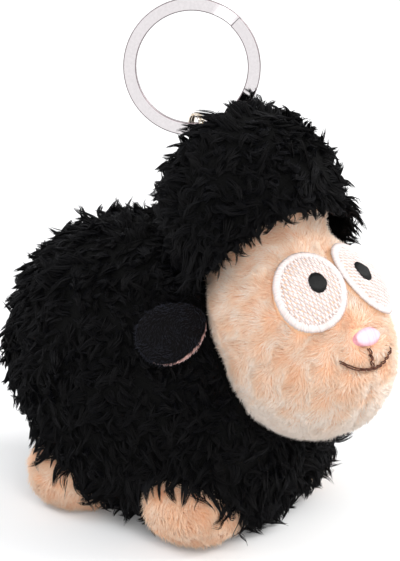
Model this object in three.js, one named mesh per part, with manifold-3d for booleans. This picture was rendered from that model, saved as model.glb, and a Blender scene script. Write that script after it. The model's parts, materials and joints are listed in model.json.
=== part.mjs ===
// A plush sheep charm: a low stuffed body in curly fleece on four plush feet, a plush
// head in a fleece hood with two flap ears and an embroidered face, and a split key ring
// that hangs by a link from a ribbon loop sewn into the hood.
// The sheep faces -Y, its left side is +X and +Z is up. Lengths are in millimetres.
import * as THREE from "three";
import { mergeVertices } from "three/addons/utils/BufferGeometryUtils.js";
import Module from "manifold-3d";

const wasm = await Module();
wasm.setup();

// Sizes that the whole toy shares
const seamGap = 0.3;
const cutOverrun = 4;
const weldDistance = 0.001;
const probeStep = 0.01;
const bisections = 30;

// Body
const bodyWidth = 61;
const bodyLength = 75.5;
const bodyHeight = 68;
const bodyClearance = 0.8;
const bodyBlend = 3;
const fleeceThickness = 4.5;
const neckHoleRadius = 9;
const beanDepth = 24;

// Head and its hood of fleece
const headWidth = 40;
const headDepth = 54;
const headTall = 70;
const headBlend = 3;
const headInset = 0.55;
const headAside = 6.4;
const headDrop = 9.8;
const headTurn = -0.34;
const plushThickness = 2;
const hoodStand = 4.4;

// Feet
const frontFootRadius = 12;
const hindFootRadius = 11.2;
const frontFootHeight = 20;
const hindFootHeight = 18;
const footBlend = 2;
const frontFootStandOut = 3.6;
const hindFootStandOut = 4.4;
const frontFootAngle = 0.73;
const hindFootAngle = 2.32;
const footCoverThickness = 1.6;
const soleDepth = 0.5;

// Ears
const earLength = 16.5;
const earWidth = 14;
const earThickness = 1.7;
const earLift = 1.24;
const earLiningPeek = 1.1;
const earRim = 0.4;
const earBackAngle = 0.2;
const earDroop = 0.34;
const earLean = 0.45;

// Embroidery
const stitchLift = 0.3;
const stitchThickness = 0.6;
const eyeWidth = 15.5;
const eyeTall = 18.5;
const pupilWidth = 3.8;
const pupilTall = 4.8;
const noseWidth = 6.4;
const noseTall = 3.8;
const mouthWidth = 14;
const mouthSag = 2.6;
const mouthDrop = 4.2;
const mouthStroke = 0.9;

// Ribbon loop, link and split key ring
const ribbonWidth = 2.4;
const ribbonThickness = 0.8;
const ribbonBendRadius = 1.3;
const ribbonTail = 5;
const linkWire = 1;
const linkInnerRadius = 3.3;
const linkLift = 1;
const linkAim = 0.69;
const linkYaw = 0.44;
const ringOuterRadius = 15;
const ringBand = 2.8;
const ringStrip = 0.8;
const ringLayerGap = 0.45;
const ringJoggleAngle = 0.16;
const ringEndAngle = 0.24;
const ringJoggleAt = 1.05;
const ringAzimuth = -1.08;
const ringLean = 0.13;
const ringClearance = 0.85;
const ringRoll = 0.095;
const ringRoom = 2;
const linkRoom = 1.5;

// Shares of the body's width, length and height, from its middle
const bodyLobeShares = [
  { at: [0, 0.02, 0.05], radii: [0.465, 0.465, 0.415], fullness: 2.25 },
  { at: [0, -0.105, -0.19], radii: [0.445, 0.405, 0.31], fullness: 3.5 },
];

// Shares of the head's width, depth and height, from its middle
const headLobeShares = [
  { at: [0, 0.26, 0.19], radii: [0.41, 0.31, 0.265], fullness: 2 },
  { at: [0, -0.02, -0.07], radii: [0.48, 0.33, 0.21], fullness: 2.1 },
  { at: [0, -0.11, -0.24], radii: [0.42, 0.33, 0.23], fullness: 2.1 },
  { at: [0, -0.27, -0.18], radii: [0.28, 0.17, 0.13], fullness: 2 },
];

// Shares of the head's width, depth and height: the space in front of the hood's edge
const openingLobeShares = [{ at: [0, -0.315, -0.257], radii: [0.8, 0.71, 0.54], fullness: 2.15 }];

// Shares of a foot's width, depth and height
const footLobeShares = [{ at: [0, 0, 0], radii: [0.5, 0.5, 0.5], fullness: 2.3 }];

// Shares of an ear flap: where its crown lies from middle to rim, and how the root narrows
const earCrownShares = [0, 0.35, 0.65, 0.88];
const earTaperShare = 0.28;

// Shares of the head's width, depth and height: the way from its middle to each feature
const eyeAimShares = [0.265, -0.36, 0.075];
const pupilAimShares = [0.21, -0.36, 0.09];
const noseAimShares = [0, -0.46, -0.085];
const mouthAimShares = [0, -0.46, -0.17];
const earAimShares = [0.4, 0.15, -0.076];

// Fineness of the round shapes
const bodyDetail = 7;
const liningDetail = 4;
const headDetail = 7;
const footDetail = 3;
const footLiningDetail = 2;
const earSteps = 24;
const earLiftSteps = 6;
const holeSteps = 20;
const pocketDetail = 2;
const grooveSides = 8;
const grooveSteps = 24;
const linkSides = 6;
const linkSteps = 20;
const stitchSteps = 8;
const ringStepsPerTurn = 26;

const zero = new THREE.Vector3();
const upAxis = new THREE.Vector3(0, 0, 1);

// Soft forms: a form is a smooth union of full ellipsoids in its own turned axes

function makeForm({ middle, size, lobeShares, blend, turn = new THREE.Quaternion() }) {
  const lobes = lobeShares.map(({ at, radii, fullness }) => ({
    at: new THREE.Vector3(...at).multiply(size),
    radii: new THREE.Vector3(...radii).multiply(size),
    fullness,
  }));
  return { middle, turn, lobes, blend, size, reach: size.length() };
}

function lobeDistance(point, { at, radii, fullness }) {
  const share = ["x", "y", "z"].map((axis) => Math.abs(point[axis] - at[axis]) / radii[axis]);
  const norm = share.reduce((sum, value) => sum + value ** fullness, 0) ** (1 / fullness);
  const slope = Math.hypot(
    ...["x", "y", "z"].map((axis, i) => (share[i] / norm) ** (fullness - 1) / radii[axis]),
  );
  return (norm - 1) / slope;
}

function formDistance(point, form) {
  const sum = form.lobes.reduce(
    (total, lobe) => total + Math.exp(-lobeDistance(point, lobe) / form.blend),
    0,
  );
  return -form.blend * Math.log(sum);
}

function toWorld(point, form) {
  return point.clone().applyQuaternion(form.turn).add(form.middle);
}

// How far along a ray, in the form's own axes, its surface lies `level` outside the form
function reachAlong(form, start, direction, level) {
  let inside = 0;
  let outside = form.reach + Math.abs(level);
  for (let i = 0; i < bisections; i++) {
    const along = (inside + outside) / 2;
    const point = start.clone().addScaledVector(direction, along);
    if (formDistance(point, form) < level) inside = along;
    else outside = along;
  }
  return inside;
}

function surfacePoint(form, direction, level) {
  const along = reachAlong(form, zero, direction, level);
  return toWorld(direction.clone().multiplyScalar(along), form);
}

function formSolid(form, level, detail) {
  const ball = weld(new THREE.IcosahedronGeometry(1, detail));
  const places = ball.attributes.position;
  for (let i = 0; i < places.count; i++) {
    const direction = new THREE.Vector3().fromBufferAttribute(places, i).normalize();
    places.setXYZ(i, ...surfacePoint(form, direction, level));
  }
  return solidOf(ball);
}

// The place on a form that an aim from its middle reaches, with Z out of the surface
function surfaceFrame(form, aim, level) {
  const direction = aim.clone().normalize();
  const local = direction.clone().multiplyScalar(reachAlong(form, zero, direction, level));
  const slope = ["x", "y", "z"].map((axis) => {
    const probe = local.clone();
    probe[axis] += probeStep;
    return (formDistance(probe, form) - formDistance(local, form)) / probeStep;
  });
  const outward = new THREE.Vector3(...slope).normalize().applyQuaternion(form.turn);
  return frameAt(toWorld(local, form), outward);
}

// Solids

function weld(geometry) {
  const bare = new THREE.BufferGeometry();
  bare.setAttribute("position", geometry.getAttribute("position").clone());
  if (geometry.index) bare.setIndex(geometry.index.clone());
  return mergeVertices(bare, weldDistance);
}

function solidOf(geometry) {
  const welded = weld(geometry);
  return new wasm.Manifold(
    new wasm.Mesh({
      numProp: 3,
      vertProperties: new Float32Array(welded.attributes.position.array),
      triVerts: new Uint32Array(welded.index.array),
    }),
  );
}

function geometryOf(solid) {
  const mesh = solid.getMesh();
  const places = new Float32Array(mesh.numVert * 3);
  for (let i = 0; i < mesh.numVert; i++) {
    places.set(mesh.vertProperties.subarray(i * mesh.numProp, i * mesh.numProp + 3), i * 3);
  }
  const geometry = new THREE.BufferGeometry();
  geometry.setAttribute("position", new THREE.BufferAttribute(places, 3));
  geometry.setIndex(new THREE.BufferAttribute(new Uint32Array(mesh.triVerts), 1));
  geometry.computeVertexNormals();
  return geometry;
}

// A frame at a point with Z along `outward` and Y as near to upright as it can be
function frameAt(point, outward, upright = upAxis) {
  const across = new THREE.Vector3().crossVectors(upright, outward).normalize();
  const up = new THREE.Vector3().crossVectors(outward, across);
  return new THREE.Matrix4().makeBasis(across, up, outward).setPosition(point);
}

function cutAll(solid, cuts) {
  return cuts.reduce((rest, cut) => rest.subtract(cut), solid);
}

function blockBelow(height, reach) {
  const block = new THREE.BoxGeometry(reach * 2, reach * 2, reach);
  block.translate(0, 0, height - reach / 2);
  return solidOf(block);
}

function ellipse(width, tall) {
  return new THREE.Shape().absellipse(0, 0, width / 2, tall / 2, 0, Math.PI * 2, false, 0);
}

function prism(outline, depth, frame) {
  const options = { depth, bevelEnabled: false, curveSegments: stitchSteps };
  const geometry = new THREE.ExtrudeGeometry(outline, options);
  geometry.translate(0, 0, -depth / 2);
  geometry.applyMatrix4(frame);
  return solidOf(geometry);
}

const sheep = new THREE.Group();

function addPiece(name, solid, material) {
  return addMesh(name, geometryOf(solid), material);
}

function addMesh(name, geometry, material) {
  const piece = new THREE.Mesh(geometry, material);
  piece.name = name;
  sheep.add(piece);
  return piece;
}

// Materials

function cloth(color) {
  return new THREE.MeshStandardMaterial({ color, roughness: 0.9 });
}

const blackFleece = cloth(0x0d0d0e);
const tanPlush = cloth(0xdcb08c);
const fibre = cloth(0xf2f0ea);
const blackVelour = cloth(0x131112);
const pinkVelour = cloth(0xa4837a);
const whiteThread = cloth(0xf6ebe9);
const blackThread = cloth(0x101010);
const pinkThread = cloth(0xf0c0cf);
const brownThread = cloth(0x6b3f2c);
const blackRibbon = cloth(0x101012);
const beans = new THREE.MeshStandardMaterial({ color: 0xe8e6dc, roughness: 0.5 });
const polishedSteel = new THREE.MeshStandardMaterial({
  color: 0xd8d8da,
  roughness: 0.12,
  metalness: 1,
});
const warmSteel = new THREE.MeshStandardMaterial({
  color: 0xe0dad2,
  roughness: 0.25,
  metalness: 1,
});

// The two stuffed forms that everything else is sewn to

const body = makeForm({
  middle: new THREE.Vector3(0, 0, bodyClearance + bodyHeight / 2),
  size: new THREE.Vector3(bodyWidth, bodyLength, bodyHeight),
  lobeShares: bodyLobeShares,
  blend: bodyBlend,
});
const head = makeForm({
  middle: new THREE.Vector3(
    -headAside,
    headInset - bodyLength / 2,
    bodyClearance + bodyHeight - headDrop,
  ),
  size: new THREE.Vector3(headWidth, headDepth, headTall),
  lobeShares: headLobeShares,
  blend: headBlend,
  turn: new THREE.Quaternion().setFromAxisAngle(upAxis, headTurn),
});
const bodyBlock = formSolid(body, seamGap, bodyDetail);
const bodyInside = formSolid(body, -fleeceThickness, liningDetail);
const headInside = formSolid(head, -plushThickness, liningDetail);

// Body: a fleece cover, open at the neck, over fibre above plastic beans

function neckHole() {
  const way = head.middle.clone().sub(body.middle);
  const radius = neckHoleRadius;
  const tube = new THREE.CylinderGeometry(radius, radius, way.length(), holeSteps);
  const turn = new THREE.Quaternion().setFromUnitVectors(
    new THREE.Vector3(0, 1, 0),
    way.clone().normalize(),
  );
  tube.translate(0, way.length() / 2, 0);
  tube.applyQuaternion(turn);
  tube.translate(...body.middle);
  return solidOf(tube);
}

function addBody(rooms) {
  const cover = formSolid(body, 0, bodyDetail).subtract(bodyInside);
  addPiece("body_cover", cutAll(cover, [neckHole(), ...rooms]), blackFleece);
  const fill = formSolid(body, -fleeceThickness - seamGap, liningDetail);
  const beanLevel = bodyClearance + fleeceThickness + beanDepth;
  addPiece("body_fibre_fill", fill.subtract(blockBelow(beanLevel, body.reach)), fibre);
  addPiece("body_beans", fill.intersect(blockBelow(beanLevel - seamGap, body.reach)), beans);
}

// Head: a plush face and a fleece hood over one filling

const opening = makeForm({
  middle: head.middle,
  size: head.size,
  lobeShares: openingLobeShares,
  blend: headBlend,
  turn: head.turn,
});

function addHead(rooms, hardwareRooms) {
  const cuts = [headInside, bodyBlock, ...rooms];
  const plush = cutAll(formSolid(head, 0, headDetail), cuts);
  addPiece("face_cover", plush.intersect(formSolid(opening, -seamGap, headDetail)), tanPlush);
  const hood = formSolid(head, hoodStand, headDetail);
  const hoodCuts = [...cuts, formSolid(opening, 0, headDetail), ...hardwareRooms];
  addPiece("wool_cap", cutAll(hood, hoodCuts), blackFleece);
  const fill = formSolid(head, -plushThickness - seamGap, liningDetail);
  addPiece("head_fibre_fill", fill.subtract(bodyBlock), fibre);
}

// Embroidery: each patch is a layer of thread that covers an outline on the face

function headAim(shares, side = 1) {
  return new THREE.Vector3(...shares).multiply(head.size).multiply(new THREE.Vector3(side, 1, 1));
}

function stitchedPatch(outlines, aim, lift) {
  const frame = surfaceFrame(head, aim, lift);
  const prisms = outlines.map((outline) => prism(outline, cutOverrun * 2, frame));
  const covered = prisms.reduce((whole, part) => whole.add(part));
  return formSolid(head, lift + stitchThickness, headDetail)
    .subtract(formSolid(head, lift, headDetail))
    .intersect(covered);
}

function mouthOutlines() {
  const radius = (mouthWidth ** 2 / 4 + mouthSag ** 2) / (mouthSag * 2);
  const half = Math.asin(mouthWidth / 2 / radius);
  const smile = new THREE.Shape();
  smile.absarc(0, radius, radius + mouthStroke / 2, -Math.PI / 2 - half, half - Math.PI / 2, false);
  smile.absarc(0, radius, radius - mouthStroke / 2, half - Math.PI / 2, -Math.PI / 2 - half, true);
  const lip = new THREE.Shape([
    new THREE.Vector2(-mouthStroke / 2, 0),
    new THREE.Vector2(mouthStroke / 2, 0),
    new THREE.Vector2(mouthStroke / 2, mouthDrop),
    new THREE.Vector2(-mouthStroke / 2, mouthDrop),
  ]);
  return [smile, lip];
}

function addFace() {
  const pupilLift = stitchLift + stitchThickness + seamGap;
  for (const [side, sign] of [["right", -1], ["left", 1]]) {
    const eye = stitchedPatch([ellipse(eyeWidth, eyeTall)], headAim(eyeAimShares, sign), stitchLift);
    const pupil = stitchedPatch(
      [ellipse(pupilWidth, pupilTall)],
      headAim(pupilAimShares, sign),
      pupilLift,
    );
    addPiece(`eye_${side}`, eye, whiteThread);
    addPiece(`pupil_${side}`, pupil, blackThread);
  }
  const nose = stitchedPatch([ellipse(noseWidth, noseTall)], headAim(noseAimShares), stitchLift);
  addPiece("nose_stitching", nose, pinkThread);
  const mouth = stitchedPatch(mouthOutlines(), headAim(mouthAimShares), stitchLift);
  addPiece("mouth_stitching", mouth, brownThread);
}

// Ears: a velour flap and its lining, hinged along the seam at the hood's edge

// The ear's frame: its origin is the root, Y runs from tip to root, Z out of the velour
function earFrame(sign) {
  const root = surfaceFrame(head, headAim(earAimShares, sign), 0);
  const place = new THREE.Vector3().setFromMatrixPosition(root);
  const along = new THREE.Vector3(
    sign * Math.cos(earBackAngle) * Math.cos(earDroop),
    Math.sin(earBackAngle) * Math.cos(earDroop),
    -Math.sin(earDroop),
  ).applyQuaternion(head.turn);
  const outward = new THREE.Vector3().crossVectors(along, upAxis).normalize().multiplyScalar(sign);
  outward.applyAxisAngle(along, -sign * earLean);
  const back = along.clone().negate();
  const wide = new THREE.Vector3().crossVectors(back, outward).normalize();
  return new THREE.Matrix4().makeBasis(wide, back, outward).setPosition(place);
}

// One crowned half of the ear: `face` is 1 for the velour side and -1 for the lining
function earHalf(frame, face, slide, grow) {
  const profile = earCrownShares.map((share) => {
    const crown = Math.sqrt(1 - share ** 2) * (earThickness - earRim);
    return new THREE.Vector2(share, seamGap / 2 + earRim + crown + grow);
  });
  profile.push(new THREE.Vector2(1, seamGap / 2 + earRim + grow));
  profile.push(new THREE.Vector2(1, seamGap / 2 - grow));
  profile.push(new THREE.Vector2(0, seamGap / 2 - grow));
  const flap = new THREE.LatheGeometry(profile.reverse(), earSteps);
  flap.rotateX(Math.PI / 2);
  const places = flap.attributes.position;
  for (let i = 0; i < places.count; i++) {
    const towardsRoot = (places.getY(i) + 1) / 2;
    const width = (earWidth / 2 + grow) * (1 - earTaperShare * towardsRoot);
    const x = places.getX(i) * width + slide;
    const y = places.getY(i) * (earLength / 2 + grow) - earLength / 2 - seamGap;
    places.setXYZ(i, x, y, places.getZ(i));
  }
  if (face < 0) flap.rotateY(Math.PI).translate(slide * 2, 0, 0);
  flap.applyMatrix4(frame);
  return solidOf(flap);
}

function addEar(side, sign) {
  const frame = earFrame(sign);
  const slide = -sign * earLiningPeek;
  const outer = earHalf(frame, 1, 0, 0);
  const lining = earHalf(frame, -1, slide, 0);
  addPiece(`ear_${side}_outer`, outer, blackVelour);
  addPiece(`ear_${side}_lining`, lining, pinkVelour);
  return earRooms(frame, slide);
}

// The room that an ear takes at rest and as it lifts about its velour's face at the root
function earRooms(frame, slide) {
  const pivot = earThickness + seamGap / 2;
  return Array.from({ length: earLiftSteps + 1 }, (_, step) => {
    const lifted = frame.clone().multiply(new THREE.Matrix4().makeTranslation(0, 0, pivot));
    lifted.multiply(new THREE.Matrix4().makeRotationX(-earLift * (step / earLiftSteps)));
    lifted.multiply(new THREE.Matrix4().makeTranslation(0, 0, -pivot));
    return earHalf(lifted, 1, 0, seamGap * 2).add(earHalf(lifted, -1, slide, seamGap * 2));
  });
}

// Feet: plush covers over fibre, cut by the body and cut flat where they stand

const frontFoot = {
  radius: frontFootRadius,
  tall: frontFootHeight,
  angle: frontFootAngle,
  standOut: frontFootStandOut,
};
const hindFoot = {
  radius: hindFootRadius,
  tall: hindFootHeight,
  angle: hindFootAngle,
  standOut: hindFootStandOut,
};

function addFoot(name, sign, { radius, tall, angle, standOut }) {
  const height = tall / 2 - soleDepth;
  const start = new THREE.Vector3(0, 0, height - body.middle.z);
  const way = new THREE.Vector3(sign * Math.sin(angle), -Math.cos(angle), 0);
  const reach = reachAlong(body, start, way, 0) + standOut - radius;
  const foot = makeForm({
    middle: new THREE.Vector3(way.x * reach, way.y * reach, height),
    size: new THREE.Vector3(radius * 2, radius * 2, tall),
    lobeShares: footLobeShares,
    blend: footBlend,
  });
  const floor = blockBelow(0, body.reach);
  const inside = formSolid(foot, -footCoverThickness, footLiningDetail);
  const cover = formSolid(foot, 0, footDetail).subtract(inside).subtract(bodyBlock).subtract(floor);
  addPiece(`${name}_cover`, cover, tanPlush);
  const fill = formSolid(foot, -footCoverThickness - seamGap, footLiningDetail);
  addPiece(`${name}_fill`, fill.subtract(bodyBlock), fibre);
}

// Ribbon loop, link and key ring

const linkRadius = linkInnerRadius + linkWire / 2;
const linkMiddle = new THREE.Vector3().setFromMatrixPosition(surfaceFrame(
  head,
  new THREE.Vector3(0, Math.cos(linkAim), Math.sin(linkAim)),
  hoodStand + linkLift,
));
const facing = new THREE.Vector3(Math.sin(ringAzimuth), -Math.cos(ringAzimuth), 0);
const ringAcross = new THREE.Vector3().crossVectors(upAxis, facing).normalize();
const ringNormal = facing.clone().applyAxisAngle(ringAcross, -ringLean);
const linkNormal = ringAcross.clone().applyAxisAngle(upAxis, linkYaw);
const ribbonMiddle = linkMiddle.clone().addScaledVector(upAxis, -linkRadius);

// An arch over the link's wire, with both tails sewn down into the hood
function ribbonOutline(grow) {
  const outer = ribbonBendRadius + ribbonThickness + grow;
  const inner = ribbonBendRadius - grow;
  const outline = new THREE.Shape();
  outline.moveTo(outer, -ribbonTail - grow);
  outline.lineTo(outer, 0);
  outline.absarc(0, 0, outer, 0, Math.PI, false);
  outline.lineTo(-outer, -ribbonTail - grow);
  outline.lineTo(-inner, -ribbonTail - grow);
  outline.absarc(0, 0, inner, Math.PI, 0, true);
  outline.lineTo(inner, -ribbonTail - grow);
  return outline;
}

function ribbonFrame() {
  const depthways = new THREE.Vector3().crossVectors(linkNormal, upAxis).normalize();
  return new THREE.Matrix4().makeBasis(linkNormal, upAxis, depthways).setPosition(ribbonMiddle);
}

const bandMiddle = linkMiddle.clone().addScaledVector(
  upAxis,
  ribbonBendRadius + ribbonThickness + ringClearance + ringBand / 2 - linkRadius,
);
const ringRadius = ringOuterRadius - ringBand / 2;
const ringUp = new THREE.Vector3().crossVectors(ringNormal, ringAcross);
const ringMiddle = bandMiddle.clone().addScaledVector(
  ringUp.clone().applyAxisAngle(ringNormal, ringRoll),
  ringRadius,
);

// The strip of the split ring runs twice round, and steps from one layer to the other
function stripHeight(angle) {
  const share = (angle - Math.PI * 2 + ringJoggleAngle) / (ringJoggleAngle * 2);
  return (ringStrip + ringLayerGap) * (THREE.MathUtils.smoothstep(share, 0, 1) - 1 / 2);
}

function stripAngles() {
  const [first, last] = [ringEndAngle, Math.PI * 4 - ringEndAngle];
  const steps = ringStepsPerTurn * 2;
  const angles = [];
  for (let i = 0; i <= steps; i++) angles.push(first + ((last - first) * i) / steps);
  const turn = Math.PI * 2;
  angles.push(turn - ringJoggleAngle, turn - ringJoggleAngle / 2, turn);
  angles.push(turn + ringJoggleAngle / 2, turn + ringJoggleAngle);
  return angles.sort((a, b) => a - b);
}

function stripCorner(angle, radial, axial) {
  const radius = ringRadius + (radial * ringBand) / 2;
  return new THREE.Vector3(
    Math.cos(angle + ringJoggleAt) * radius,
    Math.sin(angle + ringJoggleAt) * radius,
    stripHeight(angle) + (axial * ringStrip) / 2,
  );
}

const cornerSigns = [[-1, -1], [1, -1], [1, 1], [-1, 1]];

function keyRingGeometry() {
  const angles = stripAngles();
  const places = angles.flatMap((angle) =>
    cornerSigns.flatMap(([radial, axial]) => stripCorner(angle, radial, axial).toArray()),
  );
  const faces = [];
  for (let i = 0; i + 1 < angles.length; i++) {
    for (let side = 0; side < 4; side++) {
      const [a, b] = [i * 4 + side, i * 4 + ((side + 1) % 4)];
      faces.push(a, b + 4, b, a, a + 4, b + 4);
    }
  }
  const last = (angles.length - 1) * 4;
  faces.push(0, 1, 2, 0, 2, 3, last, last + 2, last + 1, last, last + 3, last + 2);
  const geometry = new THREE.BufferGeometry();
  geometry.setAttribute("position", new THREE.Float32BufferAttribute(places, 3));
  geometry.setIndex(faces);
  geometry.computeVertexNormals();
  return geometry;
}

// The least gap between the strip's two layers, and from its ends to its step
function ringLeastGap() {
  const samples = stripAngles();
  const last = samples[samples.length - 1];
  let least = Infinity;
  for (const low of samples) {
    for (const high of [...samples, low + Math.PI * 2]) {
      if (high - low < Math.PI || high > last) continue;
      for (const [radial] of cornerSigns) {
        const gap = stripCorner(low, radial, 1).distanceTo(stripCorner(high, radial, -1));
        least = Math.min(least, gap);
      }
    }
  }
  return least;
}

function addHardware() {
  const ribbon = prism(ribbonOutline(0), ribbonWidth, ribbonFrame());
  addPiece("hanging_loop", ribbon, blackRibbon);
  const wire = new THREE.TorusGeometry(linkRadius, linkWire / 2, linkSides, linkSteps);
  const link = addMesh("link_ring", weld(wire), warmSteel);
  link.quaternion.setFromRotationMatrix(frameAt(zero, linkNormal));
  link.position.copy(linkMiddle);
  const ring = addMesh("key_ring", keyRingGeometry(), polishedSteel);
  ring.quaternion.setFromRotationMatrix(
    new THREE.Matrix4().makeBasis(ringAcross, ringUp, ringNormal),
  );
  ring.position.copy(ringMiddle);
}

// Room in the hood's fleece for the ribbon's tails, the link and the ring's low edge
function hardwareRoom() {
  const pocketRadius = linkInnerRadius + linkWire + linkRoom;
  const pocket = new THREE.IcosahedronGeometry(pocketRadius, pocketDetail);
  pocket.translate(...linkMiddle);
  const grooveRadius = ringBand / 2 + ringRoom;
  const groove = new THREE.TorusGeometry(ringRadius, grooveRadius, grooveSides, grooveSteps);
  groove.applyMatrix4(new THREE.Matrix4().makeBasis(ringAcross, ringUp, ringNormal));
  groove.translate(...ringMiddle);
  const tails = prism(ribbonOutline(seamGap), ribbonWidth + seamGap * 2, ribbonFrame());
  return [solidOf(pocket), solidOf(groove), tails];
}

const rooms = [["right", -1], ["left", 1]].flatMap(([side, sign]) => addEar(side, sign));
addBody(rooms);
addHead(rooms, hardwareRoom());
addFace();
for (const [side, sign] of [["right", -1], ["left", 1]]) {
  addFoot(`foot_front_${side}`, sign, frontFoot);
  addFoot(`foot_hind_${side}`, sign, hindFoot);
}
addHardware();
console.log(`Least gap of the split ring to itself: ${ringLeastGap().toFixed(2)} mm`);

// The origin is at the middle of the box round the whole toy, on the floor
const box = new THREE.Box3().setFromObject(sheep);
const boxMiddle = box.getCenter(new THREE.Vector3());
sheep.position.set(-boxMiddle.x, -boxMiddle.y, -box.min.z);

export default sheep;
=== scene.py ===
"""A plush sheep charm: a body and a hood in shaggy black fleece, a face and feet in tan plush,
velour ears, stitched eyes, nose and mouth, and a split key ring on a link and a ribbon loop.
The sheep faces -Y, its left side is +X and +Z is up. Lengths are in millimetres until a
mesh is made, and meshes and the studio are in metres. Angles are in radians."""
import json
import math

import bmesh
import bpy
import numpy as np
from mathutils import Matrix, Vector, kdtree, noise

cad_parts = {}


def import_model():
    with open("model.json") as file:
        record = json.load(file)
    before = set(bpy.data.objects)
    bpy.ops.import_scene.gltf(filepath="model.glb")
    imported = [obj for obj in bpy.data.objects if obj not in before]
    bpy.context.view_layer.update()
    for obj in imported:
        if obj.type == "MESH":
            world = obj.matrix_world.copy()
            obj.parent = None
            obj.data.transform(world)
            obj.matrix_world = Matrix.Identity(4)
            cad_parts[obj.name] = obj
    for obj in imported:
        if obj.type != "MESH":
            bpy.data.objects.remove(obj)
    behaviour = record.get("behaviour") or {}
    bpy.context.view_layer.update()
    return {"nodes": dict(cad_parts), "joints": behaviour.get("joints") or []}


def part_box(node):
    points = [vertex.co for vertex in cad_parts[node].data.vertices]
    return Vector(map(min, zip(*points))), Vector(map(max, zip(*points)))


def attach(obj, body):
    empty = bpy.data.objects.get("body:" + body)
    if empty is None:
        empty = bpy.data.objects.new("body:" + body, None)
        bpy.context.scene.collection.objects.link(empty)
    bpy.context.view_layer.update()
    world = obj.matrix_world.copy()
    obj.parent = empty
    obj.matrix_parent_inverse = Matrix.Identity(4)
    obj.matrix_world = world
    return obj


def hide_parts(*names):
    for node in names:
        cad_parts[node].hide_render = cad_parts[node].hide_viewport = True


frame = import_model()

MM = 0.001
TURN = 2 * math.pi
UP = np.array([0.0, 0.0, 1.0])
SIDES = {"right": -1, "left": 1}

# The two stuffed forms: sizes, and shares of them for the lobes that each is made of
BODY_SIZE = np.array([61, 75.5, 68])
BODY_CLEARANCE = 0.8
BODY_LOBE_SHARES = [
    ((0, 0.02, 0.05), (0.465, 0.465, 0.415), 2.25),
    ((0, -0.105, -0.19), (0.445, 0.405, 0.31), 3.5),
]
HEAD_SIZE = np.array([40, 54, 70])
HEAD_ASIDE = 6.4
HEAD_INSET = 0.55
HEAD_DROP = 9.8
HEAD_TURN = -0.34
HEAD_LOBE_SHARES = [
    ((0, 0.26, 0.19), (0.41, 0.31, 0.265), 2),
    ((0, -0.02, -0.07), (0.48, 0.33, 0.21), 2.1),
    ((0, -0.11, -0.24), (0.42, 0.33, 0.23), 2.1),
    ((0, -0.27, -0.18), (0.28, 0.17, 0.13), 2),
]
OPENING_LOBE_SHARES = [((0, -0.315, -0.257), (0.8, 0.71, 0.54), 2.15)]
STUFFED_BLEND = 3

# Feet: radius, height, angle from the front and how far each stands out of the body
FEET = {"front": (12, 20, 0.73, 3.6), "hind": (11.2, 18, 2.32, 4.4)}
FOOT_LOBE_SHARES = [((0, 0, 0), (0.5, 0.5, 0.5), 2.3)]
FOOT_BLEND = 2
SOLE_DEPTH = 0.5
FOOT_FLOOR = 0.05

# Ears, and the lifts at which they need their room
EAR_LENGTH = 16.5
EAR_WIDTH = 14
EAR_THICKNESS = 1.85
EAR_PIVOT = 1.85
EAR_LIFTS = [math.radians(degrees) for degrees in range(8, 73, 8)]
EAR_BACK_ANGLE = 0.2
EAR_DROOP = 0.34
EAR_LEAN = 0.45
EAR_ROOT_SHARE = 0.45
EAR_AIM_SHARES = (0.4, 0.15, -0.076)
LINING_SLIDE = 0.5
LINING_SHARE = 0.93

# How far the cloth lies outside each form, how far it runs on out of sight, and how finely
# it is divided
BODY_SKIN = -1.3
HOOD_SKIN = 2.8
FACE_SKIN = -1.6
FOOT_SKINS = {"front": -1.9, "hind": -1.0}
BODY_TUCK = 6
HEAD_TUCK = 5
FACE_TUCK = 2.5
HOOD_HEM = 0.2
CLOTH_DETAIL = 6
FACE_DETAIL = 7
FOOT_DETAIL = 5

# Where the cloth swells or is drawn in. Places behind the middle and heights are the body's
# own, but the belly's and the ledges' are measured from the frame's origin.
BELLY_HEIGHTS = (0.6, 2.6)
BELLY_PLACES = (-10, 15)
BELLY_DROP = 0.5
RUMP_SWELL = 1.1
RUMP_PLACES = (8, 28)
RUMP_HEIGHTS = (-6, 10)
BACK_DROP = 0.9
BACK_HEIGHTS = (22, 32)
CHEST_SWELL = 3.2
CHEST_DROP = 1.2
CHEST_PLACES = (2, 18)
CHEST_HEIGHTS = (-16, -4)
CHEST_HEM = (-33, -26)
FOOT_GAP = (0, 3)
LEDGE_SWELL = 1.3
LEDGE_HALF_WIDTHS = (2, 10)
LEDGE_HEIGHTS = (8, 13, 18, 26)
NECK_PINCH = 0.9
NECK_REACH = (1, 9)
DIMPLE_EDGE = (7.0, 17.0)
DIMPLE_DEPTH = 2.4
SEAM_DEPTH = 0.9
SEAM_WIDTHS = {"chin": 0.9, "mouth": 1.1}
CHIN_SEAM_SHARES = (0.2, 0.25)
PRESS_MARGIN = 1.5
PRESS_GAP = 0.8
PRESS_REACH = 12

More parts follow.
